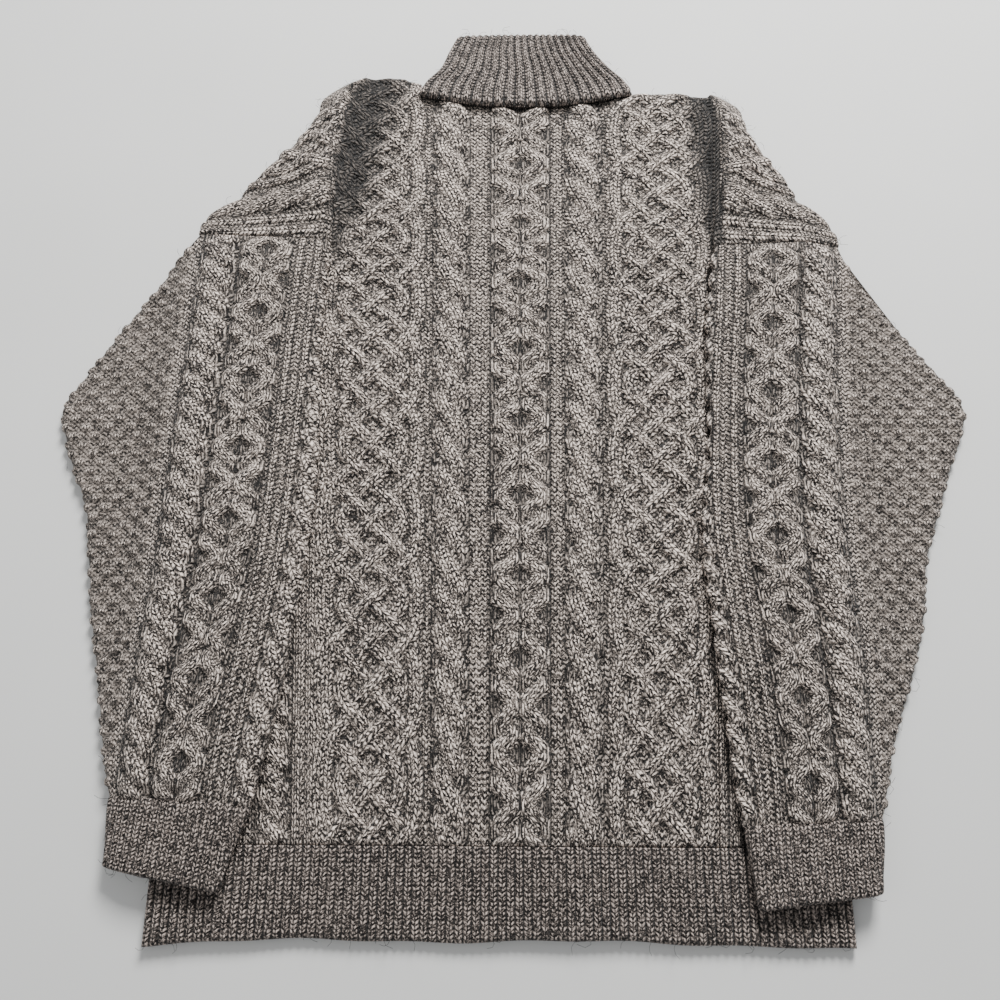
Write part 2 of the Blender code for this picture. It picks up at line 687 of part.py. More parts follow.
def make_collar(collection):
    """Doubled stand collar: a flattened ring that widens and curves at its base."""
    half = COLLAR_WALL + TUBE_SLACK / 2.0
    top_count = 2 * COLLAR_RIBS + 1
    under = COLLAR_UNDER_COLUMNS
    cap = len(FOLD_ANGLES)
    around = top_count + under + 2 * cap

    def point(station, share, inside):
        level = lerp(COLLAR[0].y_middle, COLLAR[-1].y_middle, share)
        ring = row_at(COLLAR, "y_middle", level)
        depth = half - (COLLAR_WALL if inside else 0.0)
        left = ring.left + half
        right = ring.right - half
        if station < top_count:
            x = lerp(left, right, station / (top_count - 1))
            rise = RIB_RISE if station % 2 and not inside else 0.0
            z = half + depth + rise
        elif station < top_count + cap:
            angle = math.radians(FOLD_ANGLES[station - top_count])
            x = right + depth * math.sin(angle)
            z = half + depth * math.cos(angle)
        elif station < top_count + cap + under:
            x = lerp(right, left, (station - top_count - cap) / (under - 1))
            z = half - depth
        else:
            angle = math.radians(FOLD_ANGLES[around - 1 - station])
            x = left - depth * math.sin(angle)
            z = half + depth * math.cos(angle)
        reach = (x - NECK_MIDDLE_X) / ((ring.right - ring.left) / 2.0)
        y = ring.y_middle + (ring.y_ends - ring.y_middle) * reach * reach
        return (x, y, z)

    wrapped_wall("collar", around, COLLAR_OUTER_ROWS, COLLAR_INNER_ROWS, point, collection)


# ---- dropped shoulders ----

def make_shoulder(name, table, collection):
    """Rolled shoulder: steep beside the crease, a ridge, then down to a two-layered outer edge."""
    side = math.copysign(1.0, table[0].outer)
    mesh_data = bmesh.new()
    loops = []
    for y in spread(table[0].y, table[-1].y, SHOULDER_ROWS):
        ring = shoulder_ring(row_at(table, "y", y), side, table[0])
        verts = [mesh_data.verts.new(point) for point in ring]
        loops.append([mesh_data.edges.new(pair) for pair in zip(verts, verts[1:] + verts[:1])])
    for lower, upper in zip(loops, loops[1:]):
        bmesh.ops.bridge_loops(mesh_data, edges=lower + upper)
    bmesh.ops.edgeloop_fill(mesh_data, edges=loops[0])
    bmesh.ops.edgeloop_fill(mesh_data, edges=loops[-1])
    add_piece(mesh_data, name, collection)


def shoulder_ring(row, side, seam):
    """One section across a shoulder, from the crease's foot over the ridge and back below."""
    inner = abs(row.crease)
    ridge = abs(row.ridge)
    outer = abs(row.outer)
    edge = outer - min(EDGE_REACH[0], EDGE_REACH[1] * (outer - inner))
    points = [(lerp(inner, ridge, share), height * row.ridge_height)
              for share, height in INNER_CORNERS]
    for amount in spread(0.0, 1.0, SHOULDER_INTERVALS):
        x = lerp(ridge, edge, amount)
        z = lerp(row.ridge_height, row.outer_height, amount ** SHOULDER_FALL)
        points.append((x, z + shoulder_rise(x, row.y, amount)))
    points += [(lerp(edge, outer, share), height * row.outer_height)
               for share, height in OUTER_CORNERS]
    slant = SEAM_SLANT / (abs(seam.outer) - abs(seam.crease))
    slant *= max(0.0, 1.0 - (row.y - seam.y) / SEAM_FADE)
    return [(side * x, row.y - slant * (abs(seam.outer) - x), z) for x, z in points]


def shoulder_rise(x, y, amount):
    """The body's cables, turned to run out across the shoulder."""
    turn = 2.0 * math.pi * (y - SHOULDER_TILT * x) / SHOULDER_PITCH
    wave = 0.5 + 0.5 * math.cos(turn)
    return CABLE_RISE * SHOULDER_RISE * math.sin(math.pi * amount) * wave


def build():
    for item in list(bpy.data.objects):
        bpy.data.objects.remove(item, do_unlink=True)
    collection = bpy.data.collections.new("cable_knit_sweater")
    bpy.context.scene.collection.children.link(collection)
    make_body(collection)
    make_hem("hem_back", BACK_UNDERSIDE, HEM_RIBS, collection)
    make_plain_hem("hem_front", 0.0, collection)
    make_shoulder("shoulder_left", SHOULDER_LEFT, collection)
    make_shoulder("shoulder_right", SHOULDER_RIGHT, collection)
    make_sleeve("sleeve_left", SLEEVE_LEFT, LEFT_KINK, collection)
    make_sleeve("sleeve_right", SLEEVE_RIGHT, RIGHT_KINK, collection)
    make_cuff("cuff_left", CUFF_LEFT, LEFT_KINK, collection)
    make_cuff("cuff_right", CUFF_RIGHT, RIGHT_KINK, collection)
    make_collar(collection)


build()
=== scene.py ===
"""Cable knit sweater laid out flat with its back up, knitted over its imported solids.

Metres. X runs across the garment, +Y towards the collar, +Z up. Left is -X.
"""

import math
from collections import namedtuple

import bmesh
import bpy
import numpy as np
from mathutils import Matrix, Vector


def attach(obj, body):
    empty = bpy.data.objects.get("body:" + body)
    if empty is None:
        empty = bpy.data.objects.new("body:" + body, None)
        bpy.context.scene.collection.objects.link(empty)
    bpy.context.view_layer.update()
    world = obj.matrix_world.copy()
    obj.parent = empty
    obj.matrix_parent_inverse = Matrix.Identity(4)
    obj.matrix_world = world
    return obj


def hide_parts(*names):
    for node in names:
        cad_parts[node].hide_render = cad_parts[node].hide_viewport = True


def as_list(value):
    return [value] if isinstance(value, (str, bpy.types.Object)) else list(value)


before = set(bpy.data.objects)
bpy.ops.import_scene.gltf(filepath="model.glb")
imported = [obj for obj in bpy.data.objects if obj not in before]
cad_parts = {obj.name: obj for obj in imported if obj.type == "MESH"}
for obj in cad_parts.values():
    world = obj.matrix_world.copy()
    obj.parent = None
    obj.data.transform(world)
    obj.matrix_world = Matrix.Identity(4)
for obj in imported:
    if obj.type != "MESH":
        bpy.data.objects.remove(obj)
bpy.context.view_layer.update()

# ---- cloth, as in the part's source ----
WALL = 0.0040           # thickness of the cloth
SEAM_GAP = 0.0003       # between pieces that are sewn or knitted together
TUBE_SLACK = 0.0012     # between the two walls of a flattened tube
TUBE_HALF = WALL + TUBE_SLACK / 2.0
BACK_UNDERSIDE = WALL + SEAM_GAP
BACK_GROUND = BACK_UNDERSIDE + WALL - 0.0014
SLEEVE_REST = 0.0116    # underside of a sleeve where it lies on the body
CABLE_RISE = 0.0050     # a cable's top above the ground
SLEEVE_DIP = 0.0012     # a sleeve's ground below its solid's
WELD = 0.00001          # points closer than this are one

# ---- knit ----
ROW = 0.0038            # height of one row of stitches
RIB_ROW = 0.0031        # the same in the hem and the cuffs
STITCH = 0.0046         # width of one stitch on the ground
SECTION_POWER = 0.62    # roundness of a strand's section
EDGE_SHADE = 0.14       # painted shade in the furrow beside a strand
LOW_SHADE = 0.56        # painted shade on a strand that lies as low as the ground
UNSHADED_HEIGHT = 0.8         # height of a strand from which it has no painted shade, of a cable's rise
GROUND_SHADE = 0.82     # painted shade on the lower ground away from the strands
FURROW = 0.0028         # width of a furrow on the ground
FURROW_DEPTH = 0.22     # height above a furrow, of a cable's rise, at which the painted shade ends
PAIR_DEPTH = 0.13       # depth that the line between two strands of a pair counts for in the painted shade
COLUMN_JUMP = 40        # stitch columns from one strand's own numbering to the next one's

# ---- body outline ----
BODY_LEFT, BODY_RIGHT = -0.260, 0.240
HEM_LEFT, HEM_RIGHT = -0.255, 0.238
HEM_TOP, HEM_BOTTOM, HEM_CORNER_DROP = -0.326, -0.388, 0.004
PATTERN_X = 0.007       # middle of the back's pattern
FAN_LEVEL, FAN_SPREAD = -0.068, 0.35    # the pattern is wider above this height
NECK_MIDDLE_X, NECK_HALF, NECK_LOW, NECK_RISE = 0.012, 0.096, 0.3130, 0.0130
# The body's upper edge; the neckline goes from its fifth point to its sixth.
SHOULDER_LINE = ((-0.150, 0.335), (-0.136, 0.344), (-0.115, 0.3475), (-0.100, 0.3465),
                 (-0.084, 0.340), (0.108, 0.327), (0.134, 0.329), (0.161, 0.3265),
                 (0.185, 0.318))
# Height on the back and the number of stitch rows up to it.
RowMark = namedtuple("RowMark", "y rows")
ROW_MARKS = (RowMark(-0.3324, 0.0), RowMark(-0.315, 4.0), RowMark(-0.2454, 20.0),
             RowMark(-0.1752, 36.0), RowMark(-0.1134, 52.0), RowMark(-0.0473, 68.0),
             RowMark(0.0171, 84.0), RowMark(0.0832, 100.0), RowMark(0.1449, 116.0),
             RowMark(0.2034, 132.0), RowMark(0.2667, 148.0), RowMark(0.3460, 168.5))
HUGS_START = 12.0       # row at which the middle cable starts a round
LEFT_TURN = 11.0        # row at which the left lattice's edges are straight
RIGHT_TURN = 8.0

# A shoulder's section at a height: where its hollow, its ridge and its outer edge run.
Shoulder = namedtuple("Shoulder", "y crease ridge outer ridge_height outer_height")
SHOULDER_LEFT = (
    Shoulder(0.1725, -0.1440, -0.1560, -0.271, 0.0235, 0.0120),
    Shoulder(0.195, -0.1380, -0.1570, -0.253, 0.0260, 0.0130),
    Shoulder(0.219, -0.1320, -0.1580, -0.235, 0.0275, 0.0140),
    Shoulder(0.250, -0.1240, -0.1580, -0.211, 0.0285, 0.0150),
    Shoulder(0.272, -0.1180, -0.1570, -0.191, 0.0285, 0.0160),
    Shoulder(0.294, -0.1110, -0.1540, -0.177, 0.0275, 0.0160),
    Shoulder(0.318, -0.1060, -0.1500, -0.172, 0.0245, 0.0150),
    Shoulder(0.330, -0.1050, -0.1450, -0.160, 0.0210, 0.0120),
    Shoulder(0.3395, -0.1080, -0.1350, -0.147, 0.0165, 0.0090),
)
SHOULDER_RIGHT = (
    Shoulder(0.1650, 0.1690, 0.1800, 0.283, 0.0235, 0.0120),
    Shoulder(0.181, 0.1660, 0.1810, 0.267, 0.0260, 0.0130),
    Shoulder(0.201, 0.1640, 0.1820, 0.2525, 0.0275, 0.0140),
    Shoulder(0.232, 0.1620, 0.1840, 0.2345, 0.0285, 0.0150),
    Shoulder(0.259, 0.1600, 0.1850, 0.217, 0.0285, 0.0160),
    Shoulder(0.280, 0.1580, 0.1850, 0.208, 0.0275, 0.0150),
    Shoulder(0.306, 0.1570, 0.1830, 0.204, 0.0230, 0.0130),
    Shoulder(0.318, 0.1590, 0.1790, 0.192, 0.0170, 0.0100),
)
SEAM_SLANT = 0.006      # a sleeve's seam is this much lower at its inner end
SEAM_FADE = 0.030       # height over which the slant is lost in the shoulder

# A flattened tube's section, from its inner fold to its outer one, and the pattern's middle.
Section = namedtuple("Section", "inner_x inner_y outer_x outer_y middle_x")
SLEEVE_LEFT = (
    Section(-0.157, 0.166, -0.271, 0.172, -0.209),
    Section(-0.159, 0.125, -0.303, 0.127, -0.211),
    Section(-0.160, 0.095, -0.323, 0.096, -0.212),
    Section(-0.160, 0.068, -0.340, 0.068, -0.213),
    Section(-0.159, 0.039, -0.357, 0.039, -0.214),
    Section(-0.1575, 0.012, -0.370, 0.012, -0.215),
    Section(-0.1565, -0.015, -0.364, -0.015, -0.216),
    Section(-0.1555, -0.041, -0.354, -0.041, -0.217),
    Section(-0.155, -0.066, -0.342, -0.066, -0.218),
    Section(-0.157, -0.116, -0.331, -0.116, -0.220),
    Section(-0.1615, -0.164, -0.322, -0.164, -0.225),
    Section(-0.166, -0.210, -0.311, -0.209, -0.230),
    Section(-0.174, -0.256, -0.301, -0.254, -0.235),
    Section(-0.183, -0.301, -0.289, -0.295, -0.238),
)
SLEEVE_RIGHT = (
    Section(0.172, 0.158, 0.282, 0.164, 0.222),
    Section(0.1685, 0.124, 0.296, 0.124, 0.219),
    Section(0.164, 0.095, 0.315, 0.095, 0.216),
    Section(0.162, 0.066, 0.334, 0.066, 0.213),
    Section(0.1605, 0.038, 0.354, 0.038, 0.210),
    Section(0.1595, 0.011, 0.368, 0.011, 0.208),
    Section(0.1585, -0.014, 0.361, -0.014, 0.206),
    Section(0.156, -0.041, 0.349, -0.041, 0.204),
    Section(0.1525, -0.066, 0.340, -0.066, 0.203),
    Section(0.150, -0.114, 0.322, -0.114, 0.203),
    Section(0.1535, -0.162, 0.313, -0.162, 0.207),
    Section(0.156, -0.207, 0.298, -0.207, 0.210),
    Section(0.160, -0.254, 0.280, -0.251, 0.212),
    Section(0.165, -0.313, 0.263, -0.307, 0.212),
)
CUFF_LEFT = (
    Section(-0.1835, -0.2993, -0.2885, -0.2933, -0.238),
    Section(-0.195, -0.330, -0.2865, -0.318, -0.240),
    Section(-0.203, -0.358, -0.2855, -0.342, -0.243),
)
CUFF_RIGHT = (
    Section(0.165, -0.3113, 0.2625, -0.3053, 0.212),
    Section(0.168, -0.340, 0.2590, -0.332, 0.212),
    Section(0.171, -0.367, 0.2550, -0.356, 0.213),
)
# A sleeve leaves the body's edge at the kink and comes down to the floor over the ramp.
LEFT_KINK, RIGHT_KINK, RAMP = -0.262, 0.242, 0.045

COLLAR_WALL = 0.0055
# The flattened collar's height on its middle line and at its folds, and where they are.
Ring = namedtuple("Ring", "y_middle y_ends left right")
COLLAR = (
    Ring(0.3133, 0.3263, -0.0840, 0.1080),
    Ring(0.328, 0.338, -0.0800, 0.1030),
    Ring(0.350, 0.354, -0.0665, 0.0885),
    Ring(0.372, 0.373, -0.0590, 0.0750),
    Ring(0.393, 0.392, -0.0510, 0.0660),
)


# ---- curves through tables ----

def lerp(first, last, amount):
    return first + (last - first) * amount


def smooth(amount):
    amount = np.clip(amount, 0.0, 1.0)
    return amount * amount * (3.0 - 2.0 * amount)


def curve(keys, values, where, steps=24):
    """Smooth curve through a table's values, read at some places."""
    keys = np.asarray(keys, float)
    values = np.asarray(values, float)
    if keys[0] > keys[-1]:
        keys, values = keys[::-1], values[::-1]
    slopes = np.gradient(values, keys)
    share = np.linspace(0.0, 1.0, steps, endpoint=False)
    span = np.diff(keys)[:, None]
    s2, s3 = share ** 2, share ** 3
    fine = ((2.0 * s3 - 3.0 * s2 + 1.0) * values[:-1, None]
            + (s3 - 2.0 * s2 + share) * span * slopes[:-1, None]
            + (3.0 * s2 - 2.0 * s3) * values[1:, None]
            + (s3 - s2) * span * slopes[1:, None])
    places = keys[:-1, None] + span * share
    return np.interp(where, np.append(places, keys[-1]), np.append(fine, values[-1]))


def column(table, key, name, where):
    return curve([getattr(row, key) for row in table], [getattr(row, name) for row in table],
                 where)


def side_of(place):
    """-1 on the left, 1 on the right."""
    return math.copysign(1.0, place)


def even(first, last, step):
    return np.linspace(first, last, max(2, round(abs(last - first) / step) + 1))


def edge_round(distance, radius):
    """From 0 at an edge to 1 a radius inside it, along a quarter circle."""
    share = np.clip(distance / radius, 0.0, 1.0)
    return np.sqrt(1.0 - (1.0 - share) ** 2)


def rows_up(y):
    return np.interp(y, [mark.y for mark in ROW_MARKS], [mark.rows for mark in ROW_MARKS])


# ---- strands of the cables ----

# low and high bound the columns it runs in, path and level are functions of the row, half is
# half its width, stitches are across it, and strands of one pair mirror each other.
Strand = namedtuple("Strand", "low high path half stitches level pair", defaults=(-1,))


def fixed(middle):
    return lambda rows: middle + 0.0 * rows


def rib_strand(middle, half, stitches=2, level=0.55):
    """A raised column of stitches that runs straight."""
    return Strand(middle - half, middle + half, fixed(middle), half, stitches, fixed(level))


# Widths are shares of the rope's half width.
OVER_SHARE = 0.64       # share of a rope's round that a strand spends on top
ROPE_SWING = 0.46       # how far a strand goes to each side
ROPE_STRAND = 0.63      # half a strand's width
ROPE_LOW = 0.20         # level of the strand below
ROPE_FLATNESS = 0.4     # how quickly a strand comes up to its full level
CABLE_MARGIN = 1.1      # a cable's strands stay within this


def rope_strands(middle, half, crossing, start, stitches=3, hand=1.0):
    """Two strands that wind round each other, the upper one against X going up."""
    made = []
    for late in (0.0, 0.5):
        def phase(rows, late=late):
            return ((rows - start) / (2.0 * crossing) + late) % 1.0

        def path(rows, phase=phase):
            turn = phase(rows)
            swing = np.where(turn < OVER_SHARE, np.cos(math.pi * turn / OVER_SHARE),
                             -np.cos(math.pi * (turn - OVER_SHARE) / (1.0 - OVER_SHARE)))
            return middle + hand * ROPE_SWING * half * swing

        def level(rows, phase=phase):
            over = np.clip(phase(rows) / OVER_SHARE, 0.0, 1.0)
            return ROPE_LOW + (1.0 - ROPE_LOW) * np.sin(math.pi * over) ** ROPE_FLATNESS

        made.append(Strand(middle - half * CABLE_MARGIN, middle + half * CABLE_MARGIN, path,
                           ROPE_STRAND * half, stitches, level))
    return made


# Widths are quarters of the cable's half width.
HUGS_MIDDLE, HUGS_SWING, HUGS_STRAND = 1.88, 0.90, 1.26
HUGS_PART = 4.0         # rows in which a pair goes from its narrowest to its widest
HUGS_TURN = 16.0        # rows until the same pair is uppermost again
HUGS_LATE = 4.6         # rows from the start until then
HUGS_LEVEL, HUGS_SWAY, HUGS_LOW = 0.52, 0.60, 0.10


def hugs_strands(half_width, start):
    """Mirrored pairs that part and meet, drawing rounds and crosses by turns."""
    made = []
    quarter = half_width / 4.0
    for side in (-1.0, 1.0):
        for kind in (1.0, -1.0):
            def path(rows, side=side, kind=kind):
                swing = kind * HUGS_SWING * np.cos(math.pi * (rows - start) / HUGS_PART)
                return side * quarter * (HUGS_MIDDLE - swing)

            def level(rows, kind=kind):
                turn = 2.0 * math.pi * (rows - start - HUGS_LATE) / HUGS_TURN
                return np.clip(HUGS_LEVEL + kind * HUGS_SWAY * np.cos(turn), HUGS_LOW, 1.0)

            low, high = sorted((0.0, side * half_width * CABLE_MARGIN))
            made.append(Strand(low, high, path, HUGS_STRAND * quarter, 3, level,
                               0 if kind > 0.0 else 1))
    return made


TURN_ROUNDNESS = 6.0    # a strand of the lattice turns the more sharply the higher this is


def zigzag(rows, period, share, start, gain):
    """From -1 to 1 and back, resting at both ends; -1 is at the start."""
    phase = ((rows - start) / period + share + 0.5) % 1.0
    swing = gain * (4.0 * np.abs(phase - 0.5) - 1.0)
    return swing / (1.0 + np.abs(swing) ** TURN_ROUNDNESS) ** (1.0 / TURN_ROUNDNESS)


# Long strands that rest along the panel's edges, and short ones that turn inside it.
Plait = namedtuple("Plait", "period count gain width")
LATTICE_PLAITS = (Plait(64.0, 4, 1.64, 1.0), Plait(32.0, 2, 1.25, 0.69))
LATTICE_STRAND = 0.0060
LATTICE_HALF = 0.0425
LATTICE_WEAVE = 8.0     # rows from one place where a strand goes over to the next
LATTICE_LEVEL, LATTICE_SWAY = 0.68, 0.32


def lattice_strands(middle, start):
    """Plaited panel of crossing strands."""
    reach = LATTICE_HALF - LATTICE_STRAND
    made = []
    for plait in LATTICE_PLAITS:
        for number in range(plait.count):
            def path(rows, plait=plait, share=number / plait.count):
                swing = zigzag(rows, plait.period, share, start, plait.gain)
                return middle + plait.width * reach * swing

            def level(rows, plait=plait, share=number / plait.count):
                ahead = zigzag(rows + 0.5, plait.period, share, start, plait.gain)
                behind = zigzag(rows - 0.5, plait.period, share, start, plait.gain)
                lean = np.clip((ahead - behind) * plait.period / (4.0 * plait.gain), -1.0, 1.0)
                weave = np.cos(2.0 * math.pi * (rows - start) / LATTICE_WEAVE)
                return LATTICE_LEVEL + LATTICE_SWAY * lean * weave

            made.append(Strand(middle - LATTICE_HALF, middle + LATTICE_HALF, path,
                               LATTICE_STRAND, 2, level))
    return made


def body_strands():
    """Places from the pattern's middle, at its own width."""
    made = hugs_strands(0.0232, HUGS_START)
    made += rope_strands(-0.0555, 0.0138, 8.0, 4.0)
    made += rope_strands(0.0505, 0.0142, 8.0, 2.0)
    made += lattice_strands(-0.1175, LEFT_TURN)
    made += lattice_strands(0.1105, RIGHT_TURN)
    made += [rib_strand(middle, 0.0044) for middle in (-0.1645, -0.1745, 0.1570, 0.1670)]
    made += rope_strands(-0.1930, 0.0125, 4.0, 1.0)
    made += rope_strands(0.1860, 0.0125, 4.0, 1.0)
    return made


def sleeve_strands(side):
    """Places from the sleeve's middle line, outwards positive."""
    made = hugs_strands(0.0210, 3.0)
    made += [rib_strand(-0.0285, 0.0027, 1), rib_strand(-0.0425, 0.0027, 1)]
    made += rope_strands(-0.0575, 0.0110, 5.6, 1.0, 2, side)
    made += rope_strands(0.0380, 0.0142, 5.6, 2.5, 3, side)
    return made


def shoulder_strands():
    """Places above the sleeve's seam."""
    made = [rib_strand(0.0080, 0.0038, 1, 0.50), rib_strand(0.0190, 0.0040, 1, 0.50)]
    made += rope_strands(0.0395, 0.0130, 8.0, 2.0)
    made += lattice_strands(0.1010, 3.0)
    return made


def strand_slope(strand, rows):
    return (strand.path(rows + 0.25) - strand.path(rows - 0.25)) / (0.5 * ROW)


def lay_strands(strands, across, rows):
    """Relief, the uppermost strand's number (-1 on the ground) and the painted shade: dark in
    furrows, on low strands and on the ground.
    """
    height = np.zeros(across.shape)
    below = np.zeros(across.shape)
    which = np.full(across.shape, -1)
    nearest = np.full(across.shape, 1.0)
    pairs = np.full(across.shape, -1)
    for number, strand in enumerate(strands):
        near = (across > strand.low - FURROW) & (across < strand.high + FURROW)
        if not near.any():
            continue
        a, r = across[near], rows[near]
        off = np.abs(a - strand.path(r)) / np.sqrt(1.0 + strand_slope(strand, r) ** 2)
        nearest[near] = np.minimum(nearest[near], off - strand.half)
        section = np.clip(1.0 - (off / strand.half) ** 2, 0.0, 1.0) ** SECTION_POWER
        lift = strand.level(r) * section
        old = height[near]
        higher = lift > old
        paired = (pairs[near] == strand.pair) & (strand.pair >= 0)
        below[near] = np.maximum(below[near], np.minimum(lift, old) - PAIR_DEPTH * paired)
        height[near] = np.maximum(lift, old)
        pairs[near] = np.where(higher, strand.pair, pairs[near])
        which.ravel()[np.flatnonzero(near.ravel())[higher]] = number
    # Painted shade: dark where two strands meet or a strand lies low, and on the ground beside
    # strands.
    tone = lerp(EDGE_SHADE, 1.0, np.clip((height - below) / FURROW_DEPTH, 0.0, 1.0))
    tone *= lerp(LOW_SHADE, 1.0, np.clip(height / UNSHADED_HEIGHT, 0.0, 1.0))
    ground = which < 0
    beside = np.clip(nearest[ground] / FURROW, 0.0, 1.0)
    tone[ground] = lerp(EDGE_SHADE, GROUND_SHADE, beside ** 1.3)
    return height, which, tone


def stitch_map(strands, which, across, rows):
    """Stitch columns and rows at each place, following the strand that it lies on."""
    columns = across / STITCH
    lines = rows.copy()
    for number, strand in enumerate(strands):
        on = which == number
        if not on.any():
            continue
        a, r = across[on], rows[on]
        middle = strand.path(r)
        slope = strand_slope(strand, r)
        off = (a - middle) / np.sqrt(1.0 + slope ** 2)
        columns[on] = (off / (2.0 * strand.half) + 0.5) * strand.stitches
        columns[on] += COLUMN_JUMP * (number + 1)
        lines[on] = r + (a - middle) * slope / (1.0 + slope ** 2) / ROW
    return columns, lines


# ---- meshes ----

def show(name, data):
    """An object at the origin that holds the data."""
    held = bpy.data.objects.new(name, data)
    bpy.context.scene.collection.objects.link(held)
    return held


def vertex_values(mesh, name="co"):
    values = np.empty(len(mesh.vertices) * 3)
    mesh.vertices.foreach_get(name, values)
    return values.reshape(-1, 3)


def flat_grid(name, x_segments, y_segments, size):
    shell = bmesh.new()
    bmesh.ops.create_grid(shell, x_segments=x_segments, y_segments=y_segments, size=size)
    mesh = bpy.data.meshes.new(name)
    shell.to_mesh(mesh)
    shell.free()
    return mesh


class Cloth:
    """A grid of points that becomes one knitted piece.

    across and rows are each point's place in the knit, purl is 1 on reverse stitches, and tone
    is the painted shade there: a factor on the wool's colour, 1 where none is painted.
    """

    def __init__(self, columns, rows):
        self.shape = (rows, columns)
        self.tone = np.ones(self.shape)
        self.purl = np.zeros(self.shape)
        self.strands = ()

    def finish(self, name, points, keep=None, underside=None, wrap=False):
        """Make the mesh. keep says which faces stay; an underside closes a panel below; a
        wrapped grid has its first and last columns and rows joined."""
        rows, columns = self.shape
        mesh = flat_grid(name, columns - 1, rows - 1, 1.0)
        flat = vertex_values(mesh)
        column_of = np.rint((flat[:, 0] + 1.0) / 2.0 * (columns - 1)).astype(int)
        row_of = np.rint((flat[:, 1] + 1.0) / 2.0 * (rows - 1)).astype(int)
        mesh.vertices.foreach_set("co", points[row_of, column_of].ravel())
        corners = np.empty(len(mesh.loops), dtype=np.int32)
        mesh.loops.foreach_get("vertex_index", corners)
        corner_column = column_of[corners]
        corner_row = row_of[corners]
        face_column = corner_column.reshape(-1, 4).min(axis=1)
        face_row = corner_row.reshape(-1, 4).min(axis=1)
        self.write_knit(mesh, corner_column, corner_row, face_column, face_row)
        shell = bmesh.new()
        shell.from_mesh(mesh)
        if keep is not None:
            lost = ~keep[face_row, face_column]
            faces = [face for face, gone in zip(shell.faces, lost) if gone]
            bmesh.ops.delete(shell, geom=faces, context="FACES")
        if wrap:
            bmesh.ops.remove_doubles(shell, verts=shell.verts, dist=WELD)
        if underside is not None:
            close_below(shell, underside)
        bmesh.ops.recalc_face_normals(shell, faces=shell.faces)
        for face in shell.faces:
            face.smooth = True
        shell.to_mesh(mesh)
        shell.free()
        if underside is not None:
            map_underside(mesh, underside)
        return show(name, mesh)

    def write_knit(self, mesh, corner_column, corner_row, face_column, face_row):
        """Stitch map, reverse stitches and painted shade (tone), on the mesh's corners."""
        across = self.across[corner_row, corner_column]
        rows = self.rows[corner_row, corner_column]
        middle = [grid[:-1, :-1] + grid[1:, :-1] + grid[:-1, 1:] + grid[1:, 1:]
                  for grid in (self.across, self.rows)]
        face_which = lay_strands(self.strands, middle[0] / 4.0, middle[1] / 4.0)[1]
        which = np.repeat(face_which[face_row, face_column], 4)
        columns, lines = stitch_map(self.strands, which, across, rows)
        layer = mesh.uv_layers.new(name="stitches")
        layer.data.foreach_set("uv", np.stack((columns, lines), axis=1).ravel())
        purl = np.where(which < 0, self.purl[corner_row, corner_column], 0.0)
        for name, values in (("purl", purl), ("tone", self.tone[corner_row, corner_column])):
            attribute = mesh.attributes.new(name, "FLOAT", "CORNER")
            attribute.data.foreach_set("value", values.astype(np.float32))


def close_below(shell, underside):
    """Bring a panel's edge down to its flat underside and fill that."""
    edge = [item for item in shell.edges if item.is_boundary]
    extruded = bmesh.ops.extrude_edge_only(shell, edges=edge)["geom"]
    for item in extruded:
        if isinstance(item, bmesh.types.BMVert):
            item.co.z = underside
    rim = [item for item in extruded if isinstance(item, bmesh.types.BMEdge)]
    bmesh.ops.edgeloop_fill(shell, edges=rim)


def map_underside(mesh, underside):
    """Plain stitches on the flat underside."""
    places = vertex_values(mesh)
    layer = mesh.uv_layers["stitches"].data
    for face in mesh.polygons:
        heights = [places[number][2] for number in face.vertices]
        if max(heights) > underside + WELD:
            continue
        for corner in face.loop_indices:
            x, y, _ = places[mesh.loops[corner].vertex_index]
            layer[corner].uv = (x / STITCH, y / ROW)
            mesh.attributes["purl"].data[corner].value = 0.0
            mesh.attributes["tone"].data[corner].value = 1.0


# ---- soft folds ----

# A ridge or, with a height below 0, a trough; its angle is in degrees from X.
Fold = namedtuple("Fold", "x y angle length width height")
BODY_FOLDS = (
    Fold(-0.090, 0.180, 62.0, 0.120, 0.030, 0.0030),
    Fold(-0.040, 0.020, 84.0, 0.200, 0.040, 0.0016),
    Fold(0.060, -0.160, 96.0, 0.180, 0.045, 0.0018),
    Fold(0.120, 0.170, 118.0, 0.120, 0.032, 0.0026),
    Fold(-0.110, -0.230, 78.0, 0.120, 0.032, -0.0014),
    Fold(0.090, 0.060, 100.0, 0.120, 0.030, -0.0012),
    Fold(0.010, -0.300, 4.0, 0.200, 0.016, 0.0016),
)
SLEEVE_FOLDS = (
    Fold(0.270, -0.180, 100.0, 0.110, 0.020, 0.0022),
    Fold(0.300, 0.030, 60.0, 0.070, 0.022, 0.0028),
    Fold(0.250, 0.100, 120.0, 0.080, 0.018, -0.0020),
    Fold(0.200, -0.100, 84.0, 0.120, 0.022, 0.0018),
    Fold(0.245, -0.285, 6.0, 0.060, 0.010, 0.0026),
    Fold(0.340, 0.000, 160.0, 0.050, 0.012, 0.0018),
)


def soft_folds(folds, x, y, mirrored=False):
    """Broad low ridges and troughs, each fading to its ends and sides."""
    lift = np.zeros(x.shape)
    for fold in folds:
        turn = math.radians(180.0 - fold.angle if mirrored else fold.angle)
        dx = x - (-fold.x if mirrored else fold.x)
        dy = y - fold.y
        along = (dx * math.cos(turn) + dy * math.sin(turn)) / (fold.length / 2.0)
        beside = (dy * math.cos(turn) - dx * math.sin(turn)) / fold.width
        lift += fold.height * np.exp(-along ** 2 - beside ** 2)
    return lift


# ---- body ----

def pattern_width(y):
    return 1.0 + FAN_SPREAD * (y - FAN_LEVEL)


